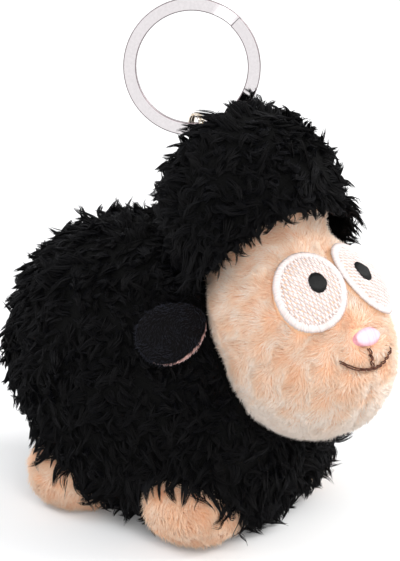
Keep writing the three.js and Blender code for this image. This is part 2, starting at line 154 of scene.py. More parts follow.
# Fleece: locks of hairs, how they are shaped, and where they are left out or shorter
LOCKS_PER_MM2 = 0.75
FRINGE_LOCKS_PER_MM2 = 1.6
LOCKS_PER_TUFT = 3
HAIRS_PER_LOCK = 6
HAIRS_PER_PIECE = 6000
HAIR_RADIUS = 0.11
LOCK_PROFILE = (0.9, 1.0, 0.95, 0.8, 0.5, 0.08)
LOCK_SPREAD = 0.75
LOCK_GATHER = 0.88
LOCK_ROOT = 0.3
BODY_LOCKS = {
    "length": (3.2, 5.9),
    "lean": (0.45, 1.1),
    "bend": (0.4, 1.3),
    "curl": (-2.2, 2.2),
    "wave": (0, 0.9),
}
HOOD_LOCKS = {**BODY_LOCKS, "curl": (-1.7, 1.7)}
LOCK_SCALE = (0.8, 1.1)
HAIR_SCALE = (0.78, 1.08)
HAIR_THICKNESS = (0.8, 1.2)
CLOSING_POWER = 0.8
FLEECE_WAY = (0, 0.3, -1)
WAY_NUDGE = (0, 0, 0.01)
SWIRL_SIZE = 9.0
LONGER_PATCHES = (5.4, 30)
SWIRL_TURN = 4.5
SWIRL_JITTER = 0.6
EDGE_PULL = 2.2
TUFT_PULL = 0.8
STRAY_SHARE = 0.1
STRAY_LEAN_SHARE = 0.5
LONGER_SHARES = {"swirl": 0.22, "edge": 0.25}
LIGHTNESS = (0.0, 0.45)
LIGHTNESS_JITTER = 0.15
TIP_LIGHTER = 0.45
MOST_STRETCH = 1.25
HOOD_EDGE = (0.5, 5.0)
FOOT_EDGE = (1.0, 7.0)
FOOT_COVERED = {"front": 1.8, "hind": 0.4}
NECK_GAP = 0.3
HOOD_COVERED = 3
DRAPE = {"head": 0.6, "foot": 0.2, "hood": 0.9}
LEAST_DROP = 0.5
FRINGE = (1.4, 3.0)
FRINGE_HEIGHTS = (-14, 0)
FRINGE_DEPTH = 2.4
LINK_PARTING = (10.0, 16.0)
PARTED_SHORTER = 0.75
EAR_GAP = 0.3
LINK_GAP = 1.0
RING_ROOM = {"half_depth": 1.3, "half_band": 1.7}

# Short pile of the plush and the velour; patches have a size and an offset in the noise
NAP_PROFILE = (1.0, 0.95, 0.7, 0.15)
NAP_HAIRS_PER_PIECE = 9500
NAP_ROOT = 0.15
NAP_LEAN = (0.6, 1.05)
NAP_BENDS = {"bend": (0.1, 0.5), "curl": (-0.5, 0.5), "wave": (0.0, 0.3)}
NAP_PATCHES = {"turn": (4.0, 0), "length": (2.5, 40), "tone": (3.0, 90)}
NAP_LONGER_SHARE = 0.25
NAP_TONE = 0.2
NAP_TONE_CHANGE = 0.35
NAP_TONE_JITTER = (-0.12, 0.2)
NAP_TIP_LIGHTER = 0.6
FACE_NAP = {"per_mm2": 16, "length": (1.6, 2.4), "radius": 0.062, "swirls": 2.4}
FACE_NAP_DROP = 0.55
FACE_NAP_EDGE = {"hood": 0.1, "body": 1.5, "ear": 0.1}
EYE_NAP_EDGE = (0.92, 1.1)
EYE_NAP_SHARE = 0.8
FOOT_NAP = {"per_mm2": 13.8, "length": (1.7, 2.8), "radius": 0.065, "swirls": 1.3}
FOOT_NAP_DROP = 0.6
FOOT_NAP_DEPTHS = {"body": 3.5, "tip": 1.2, "root": 0.2}
FOOT_NAP_FLOOR = 0.12
EAR_NAP = {"per_mm2": 9.0, "radius": 0.08, "swirls": 2.4, "lean": (1.0, 1.35)}
EAR_NAP_LENGTHS = {"outer": (0.7, 1.3), "lining": (0.5, 0.9)}
EAR_NAP_DROP = 0.4
# Painted bounce light: how much lighter the face's plush is made towards the chin, for light thrown up
# from the floor
CHIN_PAINTED_BOUNCE = 0.5
CHIN_HEIGHTS = (14, 28)
# Painted shade: how much darker the feet's plush is made, for the shade under the body
FEET_PAINTED_SHADE = 0.22

# Embroidery, on the head's own axes; a row's base and lift are its heights over the form
EYE = np.array([15.5, 18.5])
EYE_AIM_SHARES = (0.265, -0.36, 0.075)
EYE_RIM = 1.6
EYE_GROUND = 0.1
RIM_INSET_SHARE = 1.7
RIM_STITCHES = 330
RIM_SLANT = 2.2
RIM_HEIGHTS = (0.02, 0.34)
RIM_INNER_SHARES = (0.97, 1.03)
RIM_OUTER_SHARES = (0.985, 1.01)
ROW_START_SHARE = 0.25
ROW_GAP = 0.12
FILL_ANGLE = math.radians(-58)
UNDER_ANGLE = FILL_ANGLE + 0.5
LONG_STITCH = 40.0
FILL_ROWS = {"spacing": 0.46, "stitch": 2.2, "base": 0.1, "lift": 0.1, "gap": 0.3}
UNDER_ROWS = {"spacing": 0.5, "stitch": LONG_STITCH, "base": 0.02, "lift": 0.06}
UNDER_THREAD = 0.2
FILL_THREAD = 0.26
RIM_THREAD = 0.14
PUPIL = np.array([3.8, 4.8])
PUPIL_AIM_SHARES = (0.21, -0.36, 0.09)
PUPIL_ROWS = {"spacing": 0.2, "stitch": LONG_STITCH, "base": 0.3, "lift": 0.3}
PUPIL_THREAD = 0.15
NOSE = np.array([6.4, 3.8])
NOSE_AIM_SHARES = (0, -0.46, -0.085)
NOSE_ROWS = {"spacing": 0.2, "stitch": LONG_STITCH, "base": -0.3, "lift": 0.4}
NOSE_THREAD = 0.16
NOSE_INSET = 0.5
MOUTH_AIM_SHARES = (0, -0.46, -0.17)
MOUTH_WIDTH = 14
MOUTH_SAG = 2.6
MOUTH_DROP = 4.2
MOUTH_SPREAD = 0.18
SMILE_STEPS = 60
LIP_STEPS = 12
MOUTH_STITCH = 1.5
MOUTH_HEIGHTS = (-1.3, 0.75)
MOUTH_THREAD = 0.17
MOUTH_JITTER = 0.06
THREAD_PROFILE = np.array((0.75, 1.0, 1.0, 1.0, 0.75))
# Painted shade: each thread's tint falls to this share at both ends, where it sinks into the cloth
THREAD_END_PAINTED_SHADE = np.array((0.7, 1.0, 1.0, 1.0, 0.7))
THREAD_SCALE = (0.92, 1.08)
THREAD_TINTS = (0.6, 1.0)
THREAD_SIDES = 5
THREAD_END_SHARE = 0.02
FACE_REACH = 8.0
PATCH_RINGS = 10
PATCH_SIDES = 48
PATCH_TUCK = 0.3

# Hardware: the ring and the link are wound twice, with a step where the layer changes
RING_WINDING = {"radius": 13.6, "layers": 1.25, "end": 0.24, "joggle": 0.26, "start": 1.05}
RING_BAND = 2.8
RING_STRIP = 0.8
RING_CORNER = 0.2
RING_STEPS = 420
LINK_WINDING = {"radius": 3.8, "layers": 0.74, "end": 0.1, "joggle": 0.5, "start": 2.0}
LINK_WIRE = 0.36
LINK_ROUND_SHARE = 0.99
LINK_STEPS = 160
RIBBON_BEND = 1.7
RIBBON_WIDTH = 2.4
RIBBON_THICKNESS = 0.6
RIBBON_CORNER = 0.2
RIBBON_TAIL = 5
RIBBON_STEPS = {"tail": 8, "arch": 24}
BACK_SWINGS = [math.radians(degrees) for degrees in (0, -3, -6, -8)]
CORNER_STEPS = 4

# Studio, in metres: the camera's lens and shifts are in picture pixels, and each lamp has a
# place, a size, a power and a colour
CAMERA_TARGET = np.array([0, 0.0075, 0.05])
CAMERA_AZIMUTH = math.radians(-58)
CAMERA_ELEVATION = math.radians(18)
CAMERA_DISTANCE = 0.5
CAMERA_CLIP = 0.01
PICTURE_HEIGHT = 561
LENS_PIXELS = 2250
SHIFT_PIXELS = (20, 12)
LAMP_TARGET = (0, 0, 0.05)
LAMPS = {
    "key_lamp": ((0.4, -0.75, 0.75), 0.5, 7.5, (1, 1, 1)),
    "front_lamp": ((-0.68, -0.58, 0.62), 0.7, 7, (1, 1, 1)),
    "rim_lamp": ((-0.3, 0.7, 0.7), 0.5, 3, (0.9, 0.93, 1.0)),
}
WORLD_LIGHT = 0.82
FLOOR_HALF = 4.0
FLOOR_BOUNCE = 0.6
FLOOR_SHOWN = 0.8
FLOOR_GLOW = {"From Min": 0.25, "From Max": 1.2, "To Min": 0.07, "To Max": 0.4}

# Rough directions to start from across a hair, and steps, limits and shares of the methods
ODD_WAY = (0.2, 0.5, 0.84)
OTHER_ODD_WAY = (0.31, 0.83, 0.46)
WELD = 0.02
SEEDS = {"body": 11, "hood": 12, "face": 13, "feet": 14, "ears": 15, "eyes": 21, "mouth": 22}
BISECTIONS = 26
PROBE = 0.01
TINY = 1e-9
BOX_SAMPLES = 6000
MAP_MARGIN = 0.1
MAP_CAP = 0.04
QUICK_SHARE = 1.0

RING_JOINT = next(joint for joint in frame["joints"] if joint["name"] == "ring_turn")
LINK_JOINT = next(joint for joint in frame["joints"] if joint["name"] == "link_swing")
RING_MIDDLE = np.array(RING_JOINT["pos_m"]) / MM
RING_NORMAL = np.array(RING_JOINT["axis"])
RIBBON_CROWN = np.array(LINK_JOINT["pos_m"]) / MM
LINK_MIDDLE = RIBBON_CROWN + UP * (LINK_WINDING["radius"] - RIBBON_BEND)
LINK_NORMAL = -np.array(LINK_JOINT["axis"])


def norms(vectors):
    return np.linalg.norm(vectors, axis=-1)


def unit(vectors):
    return vectors / np.maximum(norms(vectors)[..., None], TINY)


def dots(a, b):
    return (a * b).sum(-1, keepdims=True)


def copies(vector, count):
    return np.repeat(np.array(vector, float)[None], count, 0)


def circle(angles):
    return np.stack([np.cos(angles), np.sin(angles)], axis=-1)


def smooth(values, low, high):
    share = np.clip((values - low) / (high - low), 0, 1)
    return share * share * (3 - 2 * share)


# Soft forms: a form is a smooth union of full ellipsoids in its own turned axes


def make_form(middle, size, lobe_shares, turn=0.0, blend=STUFFED_BLEND):
    size = np.array(size, float)
    cos, sin = math.cos(turn), math.sin(turn)
    return {
        "middle": np.array(middle, float),
        "axes": np.array([[cos, -sin, 0], [sin, cos, 0], [0, 0, 1]]),
        "lobes": [(at * size, radii * size, fullness) for at, radii, fullness in lobe_shares],
        "blend": blend,
        "size": size,
    }


def own_axes(form, points):
    return (points - form["middle"]) @ form["axes"]


def outside(form, points):
    """How far points lie outside a form, in an array of any shape that ends in 3."""
    local = own_axes(form, points.reshape(-1, 3))
    total = np.zeros(len(local))
    for at, radii, fullness in form["lobes"]:
        share = np.maximum(np.abs(local - at) / radii, TINY)
        norm = (share**fullness).sum(1) ** (1 / fullness)
        slope = norms((share / norm[:, None]) ** (fullness - 1) / radii)
        total += np.exp(-(norm - 1) / slope / form["blend"])
    return (-form["blend"] * np.log(total)).reshape(points.shape[:-1])


def crossing(form, starts, ways, reach, levels):
    """How far along each ray the form's surface, moved out by its level, is crossed."""
    low, high = np.zeros(len(ways)), np.full(len(ways), float(reach))
    for _ in range(BISECTIONS):
        middle = (low + high) / 2
        within = outside(form, starts + ways * middle[:, None]) < levels
        low, high = np.where(within, middle, low), np.where(within, high, middle)
    return low


def outward(form, points):
    base = outside(form, points)
    slopes = [outside(form, points + PROBE * axis) - base for axis in np.eye(3)]
    return unit(np.stack(slopes, axis=1))


def surface(form, directions, level):
    """Points of a form's surface in directions given in its own axes."""
    ways = unit(directions) @ form["axes"].T
    reach = crossing(form, form["middle"], ways, norms(form["size"]), level)
    return form["middle"] + ways * reach[:, None]


def balanced_directions(count):
    turn = np.arange(count) * math.pi * (3 - math.sqrt(5))
    height = 1 - (np.arange(count) + 0.5) * 2 / count
    ring = np.sqrt(1 - height**2)
    return np.stack([ring * np.cos(turn), ring * np.sin(turn), height], axis=1)


BODY_MIDDLE = np.array([0, 0, BODY_CLEARANCE + BODY_SIZE[2] / 2])


def frame_shift():
    """How far the solids were moved to put their origin under the middle of their box."""
    form = make_form(BODY_MIDDLE, BODY_SIZE, BODY_LOBE_SHARES)
    own = surface(form, balanced_directions(BOX_SAMPLES), 0)
    low, high = (np.array(corner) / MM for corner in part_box("body_cover"))
    return (low + high - own.min(0) - own.max(0)) / 2 * (1, 1, 0)


SHIFT = frame_shift()
BODY = make_form(SHIFT + BODY_MIDDLE, BODY_SIZE, BODY_LOBE_SHARES)
HEAD_MIDDLE = SHIFT + (
    -HEAD_ASIDE,
    HEAD_INSET - BODY_SIZE[1] / 2,
    BODY_CLEARANCE + BODY_SIZE[2] - HEAD_DROP,
)
HEAD = make_form(HEAD_MIDDLE, HEAD_SIZE, HEAD_LOBE_SHARES, HEAD_TURN)
OPENING = make_form(HEAD_MIDDLE, HEAD_SIZE, OPENING_LOBE_SHARES, HEAD_TURN)


def foot_form(end, side):
    radius, tall, angle, stand_out = FEET[end]
    way = np.array([SIDES[side] * math.sin(angle), -math.cos(angle), 0])
    start = SHIFT + (0, 0, tall / 2 - SOLE_DEPTH)
    reach = crossing(BODY, start, way[None], BODY_SIZE[1], 0)[0] + stand_out - radius
    size = (radius * 2, radius * 2, tall)
    return make_form(start + way * reach, size, FOOT_LOBE_SHARES, blend=FOOT_BLEND)


FOOT_FORMS = {(end, side): foot_form(end, side) for end in FEET for side in SIDES}


def ear_axes(side):
    """The ear's root and its axes: across, from tip to root, and out of the velour."""
    sign = SIDES[side]
    root = surface(HEAD, (np.array(EAR_AIM_SHARES) * HEAD_SIZE * (sign, 1, 1))[None], 0)[0]
    flat = math.cos(EAR_DROOP)
    back, aside = math.sin(EAR_BACK_ANGLE) * flat, math.cos(EAR_BACK_ANGLE) * flat
    along = HEAD["axes"] @ np.array([sign * aside, back, -math.sin(EAR_DROOP)])
    out = unit(np.cross(along, UP)) * sign
    lean = -sign * EAR_LEAN
    out = out * math.cos(lean) + np.cross(along, out) * math.sin(lean)
    return root, np.stack([np.cross(-along, out), -along, out])


EARS = {side: ear_axes(side) for side in SIDES}


def in_ear(side, points, margin, lift=0.0):
    """Where points lie over an ear's outline, their way from its root and out of its seam."""
    root, axes = EARS[side]
    local = (points - root) @ axes.T - (0, 0, EAR_PIVOT)
    turn = np.array(Matrix.Rotation(lift, 3, "X"))
    local = local @ turn.T + (0, 0, EAR_PIVOT)
    along = (local[..., 1] + EAR_LENGTH / 2) / (EAR_LENGTH / 2 + margin)
    across = local[..., 0] / (EAR_WIDTH / 2 + margin)
    return along**2 + across**2 < 1, -local[..., 1], local[..., 2]


# Meshes


def add_object(name, data):
    item = bpy.data.objects.new(name, data)
    bpy.context.scene.collection.objects.link(item)
    return item


def mesh_object(name, points, faces):
    mesh = bpy.data.meshes.new(name)
    mesh.from_pydata((points * MM).tolist(), [], faces)
    mesh.update()
    mesh.shade_smooth()
    return add_object(name, mesh)


def read(items, field, kind=float):
    """A field of three numbers, for each of a mesh's items."""
    values = np.zeros(len(items) * 3, kind)
    items.foreach_get(field, values)
    return values.reshape(-1, 3)


def write(items, field, values, kind=np.float32):
    items.foreach_set(field, values.reshape(-1).astype(kind))


def skin(name, form, detail, level, keep, shape=None):
    """The cloth of a form: its surface at a level, moved by `shape`, where `keep` says so."""
    ball = bmesh.new()
    bmesh.ops.create_icosphere(ball, subdivisions=detail, radius=1)
    directions = np.array([vertex.co[:] for vertex in ball.verts])
    faces = np.array([[vertex.index for vertex in face.verts] for face in ball.faces])
    ball.free()
    points = surface(form, directions, level)
    if shape:
        points = shape(points)
    faces = faces[keep(points)[faces].any(1)]
    used, numbers = np.unique(faces, return_inverse=True)
    return mesh_object(name, points[used], numbers.reshape(-1, 3).tolist())


def scatter(item, per_mm2, rng):
    """Evenly spread places on a mesh, with the normals there."""
    mesh = item.data
    mesh.calc_loop_triangles()
    corners = read(mesh.loop_triangles, "vertices", np.int32)
    points = read(mesh.vertices, "co") / MM
    normals = read(mesh.vertices, "normal")
    a, b, c = (points[corners[:, i]] for i in range(3))
    total = np.cumsum(norms(np.cross(b - a, c - a)) / 2)
    count = int(total[-1] * per_mm2)
    at = (np.arange(count) + rng.random(count)) / count * total[-1]
    face = np.minimum(np.searchsorted(total, at), len(total) - 1)
    u, v = rng.random((2, count, 1))
    flip = u + v > 1
    u, v = np.where(flip, 1 - u, u), np.where(flip, 1 - v, v)
    weights = (1 - u - v, u, v)
    places = sum(w * points[corners[face, i]] for i, w in enumerate(weights))
    ways = sum(w * normals[corners[face, i]] for i, w in enumerate(weights))
    return places, unit(ways)


def ring_vectors(paths):
    """Two unit vectors across each path at each of its points, turned as little as can be."""
    along = unit(np.gradient(paths, axis=1))
    across = np.cross(paths[:, 1] - paths[:, 0], OTHER_ODD_WAY)
    first = []
    for i in range(paths.shape[1]):
        across = unit(across - along[:, i] * dots(across, along[:, i]))
        first.append(across)
    first = np.stack(first, axis=1)
    return first, np.cross(along, first)


def tube_faces(count, rings, sides):
    """Corners of the faces of the tubes' walls, and of their ends."""
    ring, side = np.indices((rings - 1, sides))
    near, far, after = ring * sides, (ring + 1) * sides, (side + 1) % sides
    wall = np.stack([near + side, near + after, far + after, far + side], axis=-1).reshape(-1, 4)
    ends = np.stack([np.arange(sides)[::-1], np.arange(sides) + (rings - 1) * sides])
    offset = (np.arange(count) * rings * sides)[:, None, None]
    return (wall + offset).reshape(-1, 4), (ends + offset).reshape(-1, sides)


def tube_map(count, rings, sides):
    """A place on the map for each corner of those faces, with a square for each tube."""
    ring, side = np.indices((rings - 1, sides))
    across = (side[..., None] + (0, 1, 1, 0)) / sides
    along = (ring[..., None] + (0, 0, 1, 1)) / (rings - 1)
    wall = np.stack([across, along], axis=-1).reshape(-1, 2)
    turn = np.arange(sides) * TURN / sides
    disc = circle(turn) * MAP_CAP + 1 / 2
    columns = math.ceil(math.sqrt(count))
    row, column = np.divmod(np.arange(count), columns)
    cell = np.stack([column, row], axis=1)[:, None]
    parts = (wall * (1 - 2 * MAP_MARGIN) + MAP_MARGIN, np.concatenate([disc, disc]))
    return np.concatenate([((cell + part) / columns).reshape(-1, 2) for part in parts])


def tubes(name, paths, radii, tints, sides=3):
    """One mesh of thin closed tubes along paths, with a tint at each of their points."""
    count, rings = paths.shape[:2]
    first, second = ring_vectors(paths)
    angles = np.arange(sides) * TURN / sides
    wide = np.cos(angles)[None, None, :, None] * first[:, :, None]
    thick = np.sin(angles)[None, None, :, None] * second[:, :, None]
    points = paths[:, :, None] + radii[:, :, None, None] * (wide + thick)
    walls, caps = tube_faces(count, rings, sides)
    sizes = np.concatenate([np.full(len(walls), 4), np.full(len(caps), sides)])
    mesh = bpy.data.meshes.new(name)
    mesh.vertices.add(count * rings * sides)
    mesh.loops.add(sizes.sum())
    mesh.polygons.add(len(sizes))
    write(mesh.vertices, "co", points * MM)
    write(mesh.loops, "vertex_index", np.concatenate([walls.reshape(-1), caps.reshape(-1)]), np.int32)
    write(mesh.polygons, "loop_start", np.cumsum(sizes) - sizes, np.int32)
    write(mesh.polygons, "loop_total", sizes, np.int32)
    write(mesh.uv_layers.new(name="OFBake").uv, "vector", tube_map(count, rings, sides))
    mesh.update(calc_edges=True)
    mesh.validate()
    tint = mesh.attributes.new("tint", "FLOAT", "POINT")
    write(tint.data, "value", np.repeat(tints, sides))
    mesh.shade_smooth()
    return add_object(name, mesh)


# Pile: hairs that lean, bend and curl from the cloth; a pile is its paths, radii and tints


def turned(headings, normals, angles):
    """Headings laid flat on the cloth and turned on it."""
    along = unit(headings - normals * dots(headings, normals))
    return along * np.cos(angles)[:, None] + np.cross(normals, along) * np.sin(angles)[:, None]


def grow(roots, normals, headings, shape, steps):
    """Paths of hairs that lean over and bend, and turn sideways with a curl and a wave."""
    paths = [roots]
    for share in (np.arange(steps) + 0.5) / steps:
        lean = (shape["lean"] + shape["bend"] * share)[:, None]
        turn = shape["curl"] * share + shape["wave"] * np.sin(shape["phase"] + TURN * share)
        way = np.cos(lean) * normals + np.sin(lean) * turned(headings, normals, turn)
        paths.append(paths[-1] + way * shape["length"][:, None] / steps)
    return np.stack(paths, axis=1)


def random_shape(rng, count, ranges):
    shape = {name: rng.uniform(low, high, count) for name, (low, high) in ranges.items()}
    shape["phase"] = rng.uniform(0, TURN, count)
    return shape


def swirl(points, scale, apart=0):
    """A smooth random number from -1 to 1 for each point, that changes over `scale`. Numbers
    for different uses are taken that far `apart`."""
    return np.array([noise.noise(Vector((point + apart) / scale)) for point in points])


def tufts_of(points, rng):
    """For each point, the number of the point that leads the tuft it belongs to."""
    leaders = rng.choice(len(points), max(1, len(points) // LOCKS_PER_TUFT), replace=False)
    tree = kdtree.KDTree(len(leaders))
    for leader in leaders:
        tree.insert(Vector(points[leader]), leader)
    tree.balance()
    return np.array([tree.find(Vector(point))[1] for point in points])


def gathered(guides, normals, rng):
    """Hairs of locks: each starts beside its lock's guide and closes in on it to the tip."""
    count, rings = guides.shape[:2]
    angle = rng.uniform(0, TURN, (count, HAIRS_PER_LOCK, 1))
    reach = LOCK_SPREAD * np.sqrt(rng.random((count, HAIRS_PER_LOCK)))
    side = unit(np.cross(normals, ODD_WAY))
    flat = np.cos(angle) * side[:, None] + np.sin(angle) * np.cross(normals, side)[:, None]
    closing = 1 - LOCK_GATHER * np.linspace(0, 1, rings) ** CLOSING_POWER
    offsets = (flat * reach[..., None])[:, :, None] * closing[None, None, :, None]
    scale = rng.uniform(*HAIR_SCALE, (count, HAIRS_PER_LOCK, 1, 1))
    paths = guides[:, None, :1] + (guides - guides[:, :1])[:, None] * scale + offsets
    return paths.reshape(-1, rings, 3)


def tapered(count, profile, radius, rng):
    return rng.uniform(*HAIR_THICKNESS, (count, 1)) * radius * np.array(profile)[None]


def shortened(paths, shares):
    """Hairs drawn back towards their roots."""
    return paths[:, :1] + (paths - paths[:, :1]) * shares[:, None, None]


def lengths(paths):
    return norms(np.diff(paths, axis=1)).sum(1)


def draped(paths, form, level):
    """Hairs moved out of a form, to lie on it at a level."""
    flat = paths.reshape(-1, 3).copy()
    for _ in range(3):
        short = level - outside(form, flat)
        near = np.flatnonzero(short > 0)
        if len(near):
            flat[near] += outward(form, flat[near]) * short[near, None]
    return flat.reshape(paths.shape)


def above_floor(points, least=FOOT_FLOOR):
    return np.maximum(points, (-np.inf, -np.inf, least))


def clear_of_ears(paths, margin):
    """Hairs that leave each ear its room, and hide no more of it than its root."""
    keep = np.ones(len(paths), bool)
    for side in SIDES:
        over, reach, height = in_ear(side, paths, margin)
        within = (height > -EAR_THICKNESS - margin) & (height < EAR_THICKNESS)
        in_front = (height > 0) & (reach > EAR_LENGTH * EAR_ROOT_SHARE)
        keep &= ~(over & (within | in_front)).any(1)
        for lift in EAR_LIFTS:
            over, _, height = in_ear(side, paths, margin, lift)
            keep &= ~(over & (np.abs(height) < EAR_THICKNESS + margin)).any(1)
    return keep


def pressed_by_ears(points):
    """Cloth under an ear, pushed in behind the ear's lining."""
    for side in SIDES:
        over, _, height = in_ear(side, points, PRESS_MARGIN)
        depth = np.maximum(height + EAR_THICKNESS + PRESS_GAP, 0) * over * (height < PRESS_REACH)
        points = points - depth[:, None] * EARS[side][1][2]
    return points


# Materials

BLUE_SHEEN = (0.62, 0.68, 1.0)
WARM_SHEEN = (1.0, 0.9, 0.82)
STEEL_GRAIN = 0.6
STEEL_LIGHTER = 8


def connect(tree, node, inputs):
    """Links a node's inputs to outputs of other nodes, or sets them to values."""
    for name, value in inputs.items():
        if isinstance(value, bpy.types.NodeSocket):
            tree.links.new(value, node.inputs[name])
        else:
            node.inputs[name].default_value = value


def add_node(tree, kind, **inputs):
    node = tree.nodes.new(f"ShaderNode{kind}")
    connect(tree, node, inputs)
    return node


def new_material(name, roughness, specular=0.5, metallic=0.0, sheen=0.0, sheen_tint=(1, 1, 1)):
    material = bpy.data.materials.new(name)
    material.use_nodes = True
    tree = material.node_tree
    shader = tree.nodes["Principled BSDF"]
    values = {"Roughness": roughness, "Specular IOR Level": specular, "Metallic": metallic}
    values.update({"Sheen Weight": sheen, "Sheen Tint": (*sheen_tint, 1)})
    connect(tree, shader, values)
    return material, tree, shader


def linear(color):
    """A colour written as 0 to 255 sRGB, in linear light."""
    shares = [value / 255 for value in color]
    return tuple(s / 12.92 if s <= 0.04045 else ((s + 0.055) / 1.055) ** 2.4 for s in shares)


def ramp(tree, source, places, colors):
    node = add_node(tree, "ValToRGB", Fac=source)
    while len(node.color_ramp.elements) < len(colors):
        node.color_ramp.elements.new(0.5)
    for element, place, color in zip(node.color_ramp.elements, places, colors):
        element.position = place
        element.color = (*linear(color), 1)
    return node.outputs["Color"]


def noise_of(tree, grain, detail=3.0):
    """Noise with grains of this many millimetres."""
    place = add_node(tree, "TexCoord").outputs["Object"]
    return add_node(tree, "TexNoise", Vector=place, Scale=1 / (grain * MM), Detail=detail).outputs["Fac"]


def bump(tree, shader, height, depth):
    """Bump of a depth in millimetres."""
    node = add_node(tree, "Bump", Height=height, Distance=depth * MM)
    tree.links.new(node.outputs["Normal"], shader.inputs["Normal"])


def tinted(name, places, colors, roughness, **shine):
    """A material whose colour follows each point's tint."""
    material, tree, shader = new_material(name, roughness, **shine)
    source = add_node(tree, "Attribute")
    source.attribute_name = "tint"
    color = ramp(tree, source.outputs["Fac"], places, colors)
    tree.links.new(color, shader.inputs["Base Color"])
    return material


def mottled(name, colors, grain, depth, roughness, places=(0.3, 0.7), detail=3.0, **shine):
    """A material whose colour and height follow a fine noise."""
    material, tree, shader = new_material(name, roughness, **shine)
    grains = noise_of(tree, grain, detail)
    tree.links.new(ramp(tree, grains, places, colors), shader.inputs["Base Color"])
    if depth:
        bump(tree, shader, grains, depth)
    return material


def thread(name, dark, light):
    return tinted(name, (0, 1), (dark, light), 0.5, specular=0.25)


def steel(name, color, roughness, scratches):
    """Plated metal with fine scratches that break up its gloss a little."""
    colors = (color, [value + STEEL_LIGHTER for value in color])
    return mottled(name, colors, STEEL_GRAIN, scratches, roughness, detail=6, metallic=1.0)


def dress(item, material, body="root", replaces=()):
    """Gives a piece its material and slot, the body it rides on and the solids it stands for."""
    item.data.materials.clear()
    item.data.materials.append(material)
    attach(item, body)
    if replaces:
        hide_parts(*replaces)


FLEECE_CLOTH = mottled("fleece_cloth", ((1, 1, 1), (4, 4, 4)), 0.8, 0.5, 0.9, specular=0.1)
FLEECE_HAIR = tinted(
    "fleece_hair",
    (0, 0.45, 0.8, 1),
    ((1, 1, 1), (3, 2, 2), (8, 7, 7), (20, 19, 20)),
    0.6,
    specular=0.1,
    sheen=0.01,
    sheen_tint=BLUE_SHEEN,
)
PLUSH_CLOTH = mottled(
    "plush_cloth", ((240, 190, 152), (250, 208, 172)), 0.5, 0.3, 0.95, specular=0.1
)
PLUSH_HAIR = tinted(
    "plush_hair",
    (0, 0.35, 0.7, 1),
    ((244, 182, 136), (252, 210, 175), (254, 228, 205), (255, 243, 232)),
    0.8,
    specular=0.1,
    sheen=0.4,
    sheen_tint=WARM_SHEEN,
)
VELOUR_CLOTH = mottled("velour_cloth", ((5, 4, 5), (9, 8, 9)), 0.5, 0.1, 0.9, specular=0.08)
VELOUR_HAIR = tinted(
    "velour_hair",
    (0, 0.5, 1),
    ((5, 4, 5), (9, 8, 9), (18, 16, 18)),
    0.7,
    specular=0.1,
    sheen=0.08,
    sheen_tint=BLUE_SHEEN,
)
PINK_CLOTH = mottled("pink_cloth", ((156, 118, 112), (192, 154, 146)), 0.5, 0.2, 0.9, specular=0.15)
PINK_HAIR = tinted(
    "pink_hair",
    (0, 0.5, 1),
    ((172, 134, 128), (214, 180, 178), (242, 222, 226)),
    0.7,
    specular=0.2,
    sheen=0.2,
)
WHITE_THREAD = thread("white_thread", (178, 164, 160), (228, 216, 213))
BLACK_THREAD = thread("black_thread", (3, 3, 3), (12, 12, 12))
PINK_THREAD = thread("pink_thread", (220, 150, 166), (250, 206, 216))
BROWN_THREAD = thread("brown_thread", (46, 24, 16), (92, 52, 36))
PINK_GROUND = mottled("pink_ground", ((224, 160, 174), (238, 182, 196)), 0.4, 0.1, 0.8, specular=0.2)
POLISHED_STEEL = steel("polished_steel", (232, 227, 229), 0.05, 0)
# Painted reflection: a darker steel for the ring's rounded edges, standing in for the dark things they
# reflect
PAINTED_DARK_EDGE = steel("painted_dark_edge", (116, 104, 107), 0.35, 0.01)
WARM_STEEL = steel("warm_steel", (226, 214, 198), 0.18, 0.004)
RIBBON_CLOTH = mottled(
    "ribbon_cloth", ((10, 10, 12), (30, 30, 34)), 0.2, 0.1, 0.6, (0.35, 0.65), specular=0.3
)
FIBRE = mottled("fibre", ((214, 210, 202), (250, 249, 246)), 1.2, 0.8, 0.9)
BEANS = mottled("beans", ((196, 192, 180), (236, 234, 224)), 2.2, 0.8, 0.5, (0.4, 0.6))


# Where the face is stitched


def place_on_face(aim_shares, side=1):
    """A frame on the face: its origin, and unit vectors across, up and out."""
    aim = np.array(aim_shares) * HEAD_SIZE * (side, 1, 1)
    origin = surface(HEAD, aim[None], 0)[0]
    out = outward(HEAD, origin[None])[0]
    across = unit(np.cross(UP, out))
    return origin, across, np.cross(out, across), out


def on_face(place, spots, levels):
    """Points of the face, each at its level, over flat spots of a place on it."""
    origin, across, up, out = place
    starts = origin - out * FACE_REACH + spots[:, :1] * across + spots[:, 1:] * up
    ways = copies(out, len(spots))
    return starts + ways * crossing(HEAD, starts, ways, FACE_REACH * 2, levels)[:, None]


def spots_of(place, points):
    origin, across, up, _ = place
    return np.stack([(points - origin) @ across, (points - origin) @ up], axis=-1)


EYE_PLACES = {side: place_on_face(EYE_AIM_SHARES, sign) for side, sign in SIDES.items()}
PUPIL_PLACES = {side: place_on_face(PUPIL_AIM_SHARES, sign) for side, sign in SIDES.items()}
NOSE_PLACE = place_on_face(NOSE_AIM_SHARES)
MOUTH_PLACE = place_on_face(MOUTH_AIM_SHARES)
SMILE_RADIUS = (MOUTH_WIDTH**2 / 4 + MOUTH_SAG**2) / (MOUTH_SAG * 2)
SMILE_ANGLE = math.asin(MOUTH_WIDTH / 2 / SMILE_RADIUS)


def in_oval(place, points, size):
    """1 on an oval's outline over the face, less inside and more outside."""
    spots = spots_of(place, points)
    return np.sqrt((spots[:, 0] * 2 / size[0]) ** 2 + (spots[:, 1] * 2 / size[1]) ** 2)


